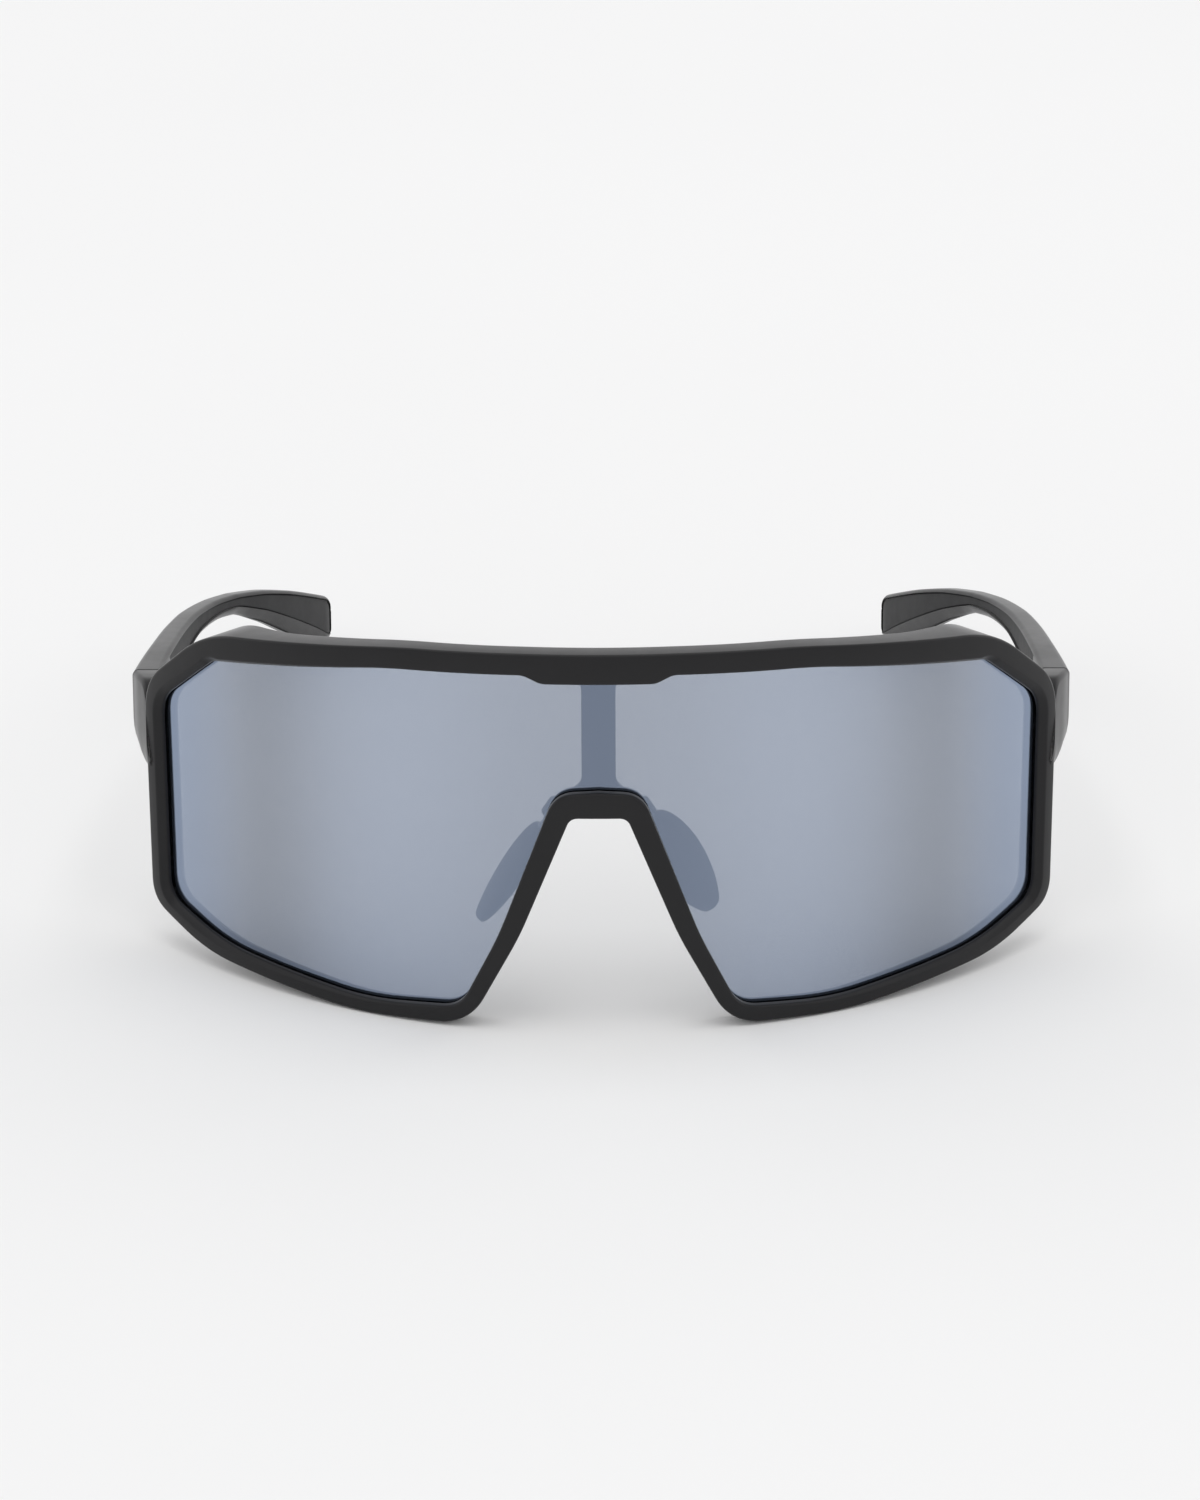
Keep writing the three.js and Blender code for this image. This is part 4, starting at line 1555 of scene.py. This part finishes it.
@dataclass
class NosePad:
    """A soft pad on its wire.

    Attributes:
        side: which pad.
        pivot: where the wire leaves its boss, in the front's own frame.
        axis: the wire's direction.
        facing: towards the side of the nose.
        turns: how far each pad is turned on its wire as worn, in degrees, left one first.
        starts: from the pivot to each pad's first end, left one first.
        size: length, width and thickness.
        wire: the wire's radius, its length in the boss and its length in the pad.
        near: places and fullness of the dome at its first end, as shares.
        far: the same for the dome at its other end.
        steps: how many rows it is drawn with.
        sides: how many points go round it.
    """

    side: Side
    pivot: Vector = field(default_factory=lambda: Vector((7.5, 6.3, -12.6)))
    axis: Vector = field(default_factory=lambda: Vector((0.51, 0.19, -0.84)).normalized())
    facing: Vector = field(default_factory=lambda: Vector((-0.78, 0.6, -0.25)))
    turns: tuple[float, float] = (20.0, -24.0)
    size: tuple[float, float, float] = (18.4, 8.6, 2.9)
    starts: tuple[float, float] = (0.6, 2.8)
    wire: tuple[float, float, float] = (0.6, 2.0, 8.0)
    near: tuple[tuple[float, float], ...] = ((-0.022, 0.06), (-0.019, 0.2), (-0.012, 0.32))
    far: tuple[tuple[float, float], ...] = ((1.01, 0.26), (1.016, 0.17), (1.019, 0.06))
    steps: int = 60
    sides: int = 40

    def boss(self, radius: float, length: float) -> Shell:
        """Draws the boss that holds the wire, with the wire's hole left to the wire itself."""
        drawn = Shaper.rod(self.pivot - self.axis * length, self.axis, length, radius, 0.2)
        return drawn.moved(STANCE.lean()).on(self.side)

    @staticmethod
    def swell(share: float) -> float:
        """How full the pad is at a share of its length, where 1 is its whole width."""
        return math.sqrt(math.sin(math.pi * (0.06 + 0.9 * share**0.85)))

    def pad(self) -> Shell:
        """Draws the soft pad.

        Returns:
            The shell, with both ends domed.
        """
        which = 0 if self.side is Side.LEFT else 1
        turn, start = self.turns[which], self.starts[which]
        facing = (self.facing - self.axis * self.facing.dot(self.axis)).normalized()
        facing.rotate(Quaternion(self.axis, math.radians(turn)))
        across = self.axis.cross(facing)
        length, width, thick = self.size
        body = [(k / self.steps, self.swell(k / self.steps)) for k in range(self.steps + 1)]
        rows = []
        for share, swell in (*self.near, *body, *self.far):
            middle = self.pivot + self.axis * (start + length * share)
            row = []
            for k in range(self.sides):
                angle = 2 * math.pi * k / self.sides
                wide = width / 2 * swell * math.cos(angle)
                deep = thick / 2 * math.sqrt(swell) * math.sin(angle)
                row.append(middle + across * wide + facing * deep)
            rows.append(row)
        return Shaper.skin(rows, closed=False).moved(STANCE.lean()).on(self.side)

    def build(self) -> None:
        """Makes the pad and its wire and sets them in place."""
        word = self.side.word
        soft = self.pad().solid(f"nose_pad_{word}_fine")
        present(soft, Finish.SILICONE, f"nose_pad_{word}_body", f"nose_pad_{word}", crease=50)
        radius, inside, out = self.wire
        drawn = Shaper.rod(self.pivot - self.axis * inside, self.axis, inside + out, radius, 0.1)
        wire = drawn.moved(STANCE.lean()).on(self.side).solid(f"nose_wire_{word}_fine")
        present(wire, Finish.WIRE, "front", f"nose_wire_{word}")


# ------------------------------------------------------------------ studio


@dataclass(frozen=True)
class Lamp:
    """A soft panel of light.

    Attributes:
        name: its name.
        place: its middle, in metres.
        aim: what it faces.
        size: width and height.
        glow: brightness of its surface, where 1 is white.
    """

    name: str
    place: tuple[float, float, float]
    aim: tuple[float, float, float]
    size: tuple[float, float]
    glow: float

    def build(self) -> None:
        """Hangs the panel."""
        light = bpy.data.lights.new(self.name, "AREA")
        light.shape = "RECTANGLE"
        light.size, light.size_y = self.size
        light.energy = self.glow * math.pi * self.size[0] * self.size[1]
        made = bpy.data.objects.new(self.name, light)
        made.location = self.place
        towards = Vector(self.aim) - Vector(self.place)
        made.rotation_euler = towards.to_track_quat("-Z", "Y").to_euler()
        bpy.context.scene.collection.objects.link(made)


@dataclass
class Studio:
    """The pale floor, the light and the camera.

    Attributes:
        distance: from the camera to the lens's middle, in metres.
        elevation: the camera's height over the temples' own plane, in degrees.
        swing: how far the camera stands to the wearer's left, in degrees.
        roll: how far the picture is turned, in degrees.
        shift: how far the camera is moved sideways, in metres.
        lens: focal length, in millimetres.
        lamps: the soft panels.
        tint: colour of the faint light all round.
        ambient: how strong that light is.
    """

    distance: float = 0.62
    elevation: float = 12.0
    swing: float = 0.6
    roll: float = -0.35
    shift: float = 0.00025
    lens: float = 100.0
    lamps: tuple[Lamp, ...] = (
        Lamp("overhead", place=(0, 0, 2.4), aim=(0, 0, 0), size=(2.2, 2.0), glow=1.46),
        Lamp("back", place=(0, 3.6, 1.5), aim=(0, 0, 0.2), size=(6.0, 2.6), glow=0.4),
        Lamp("front", place=(0, -3.4, 1.9), aim=(0, 0, 0), size=(5.0, 2.6), glow=0.43),
        Lamp("left", place=(3.0, 0.7, 1.3), aim=(0, 0, 0), size=(4.0, 2.4), glow=1.1),
        Lamp("right", place=(-3.0, 0.7, 1.3), aim=(0, 0, 0), size=(4.0, 2.4), glow=1.1),
    )
    tint: tuple[float, float, float] = (0.99, 0.99, 1.0)
    ambient: float = 0.53

    def floor(self) -> None:
        """Lays the floor."""
        mesh = bpy.data.meshes.new("floor")
        reach = 6.0
        corners = [(-reach, -reach, 0), (reach, -reach, 0), (reach, reach, 0), (-reach, reach, 0)]
        mesh.from_pydata(corners, [], [(0, 1, 2, 3)])
        made = bpy.data.objects.new("floor", mesh)
        bpy.context.scene.collection.objects.link(made)
        grain = Grain("pale_floor")
        grain.tint(grain.noise(400.0, 2), (0.86, 0.86, 0.858), (0.88, 0.88, 0.878))
        grain.roughen(grain.noise(30.0, 3), 0.85, 0.95)
        grain.set(specular_ior_level=0.1)
        mesh.materials.append(grain.material)

    def light(self) -> None:
        """Hangs the lamps and sets the faint light all round."""
        for lamp in self.lamps:
            lamp.build()
        world = bpy.data.worlds.new("studio")
        world.use_nodes = True
        faint = world.node_tree.nodes["Background"]
        faint.inputs["Color"].default_value = (*self.tint, 1)
        faint.inputs["Strength"].default_value = self.ambient
        bpy.context.scene.world = world

    def camera(self) -> None:
        """Sets the camera."""
        middle = STANCE.worn_to_table().translation
        rise = math.radians(self.elevation + STANCE.pitch)
        swing = math.radians(self.swing)
        level = math.cos(rise)
        back = Vector((math.sin(swing) * level, -math.cos(swing) * level, math.sin(rise)))
        data = bpy.data.cameras.new("camera")
        data.lens = self.lens
        data.sensor_width = 36.0
        data.clip_start = 0.01
        made = bpy.data.objects.new("camera", data)
        made.location = middle + back * self.distance + Vector((self.shift, 0, 0))
        look = (-back).to_track_quat("-Z", "Y") @ Quaternion((0, 0, 1), math.radians(self.roll))
        made.rotation_euler = look.to_euler()
        bpy.context.scene.collection.objects.link(made)
        bpy.context.scene.camera = made

    def build(self) -> None:
        """Sets up the studio."""
        self.floor()
        self.light()
        self.camera()
        bpy.context.scene.view_settings.view_transform = "Standard"


def main() -> None:
    """Builds the glasses piece by piece, then the studio round them."""
    logging.basicConfig(level=logging.INFO, format="%(name)s: %(message)s")
    front = Front()
    front.build()
    ShieldLens(front).build()
    Nosepiece().build()
    for side in Side:
        Temple(side).build()
        Hinge().build(side)
    Studio().build()


if __name__ == "__main__":
    main()
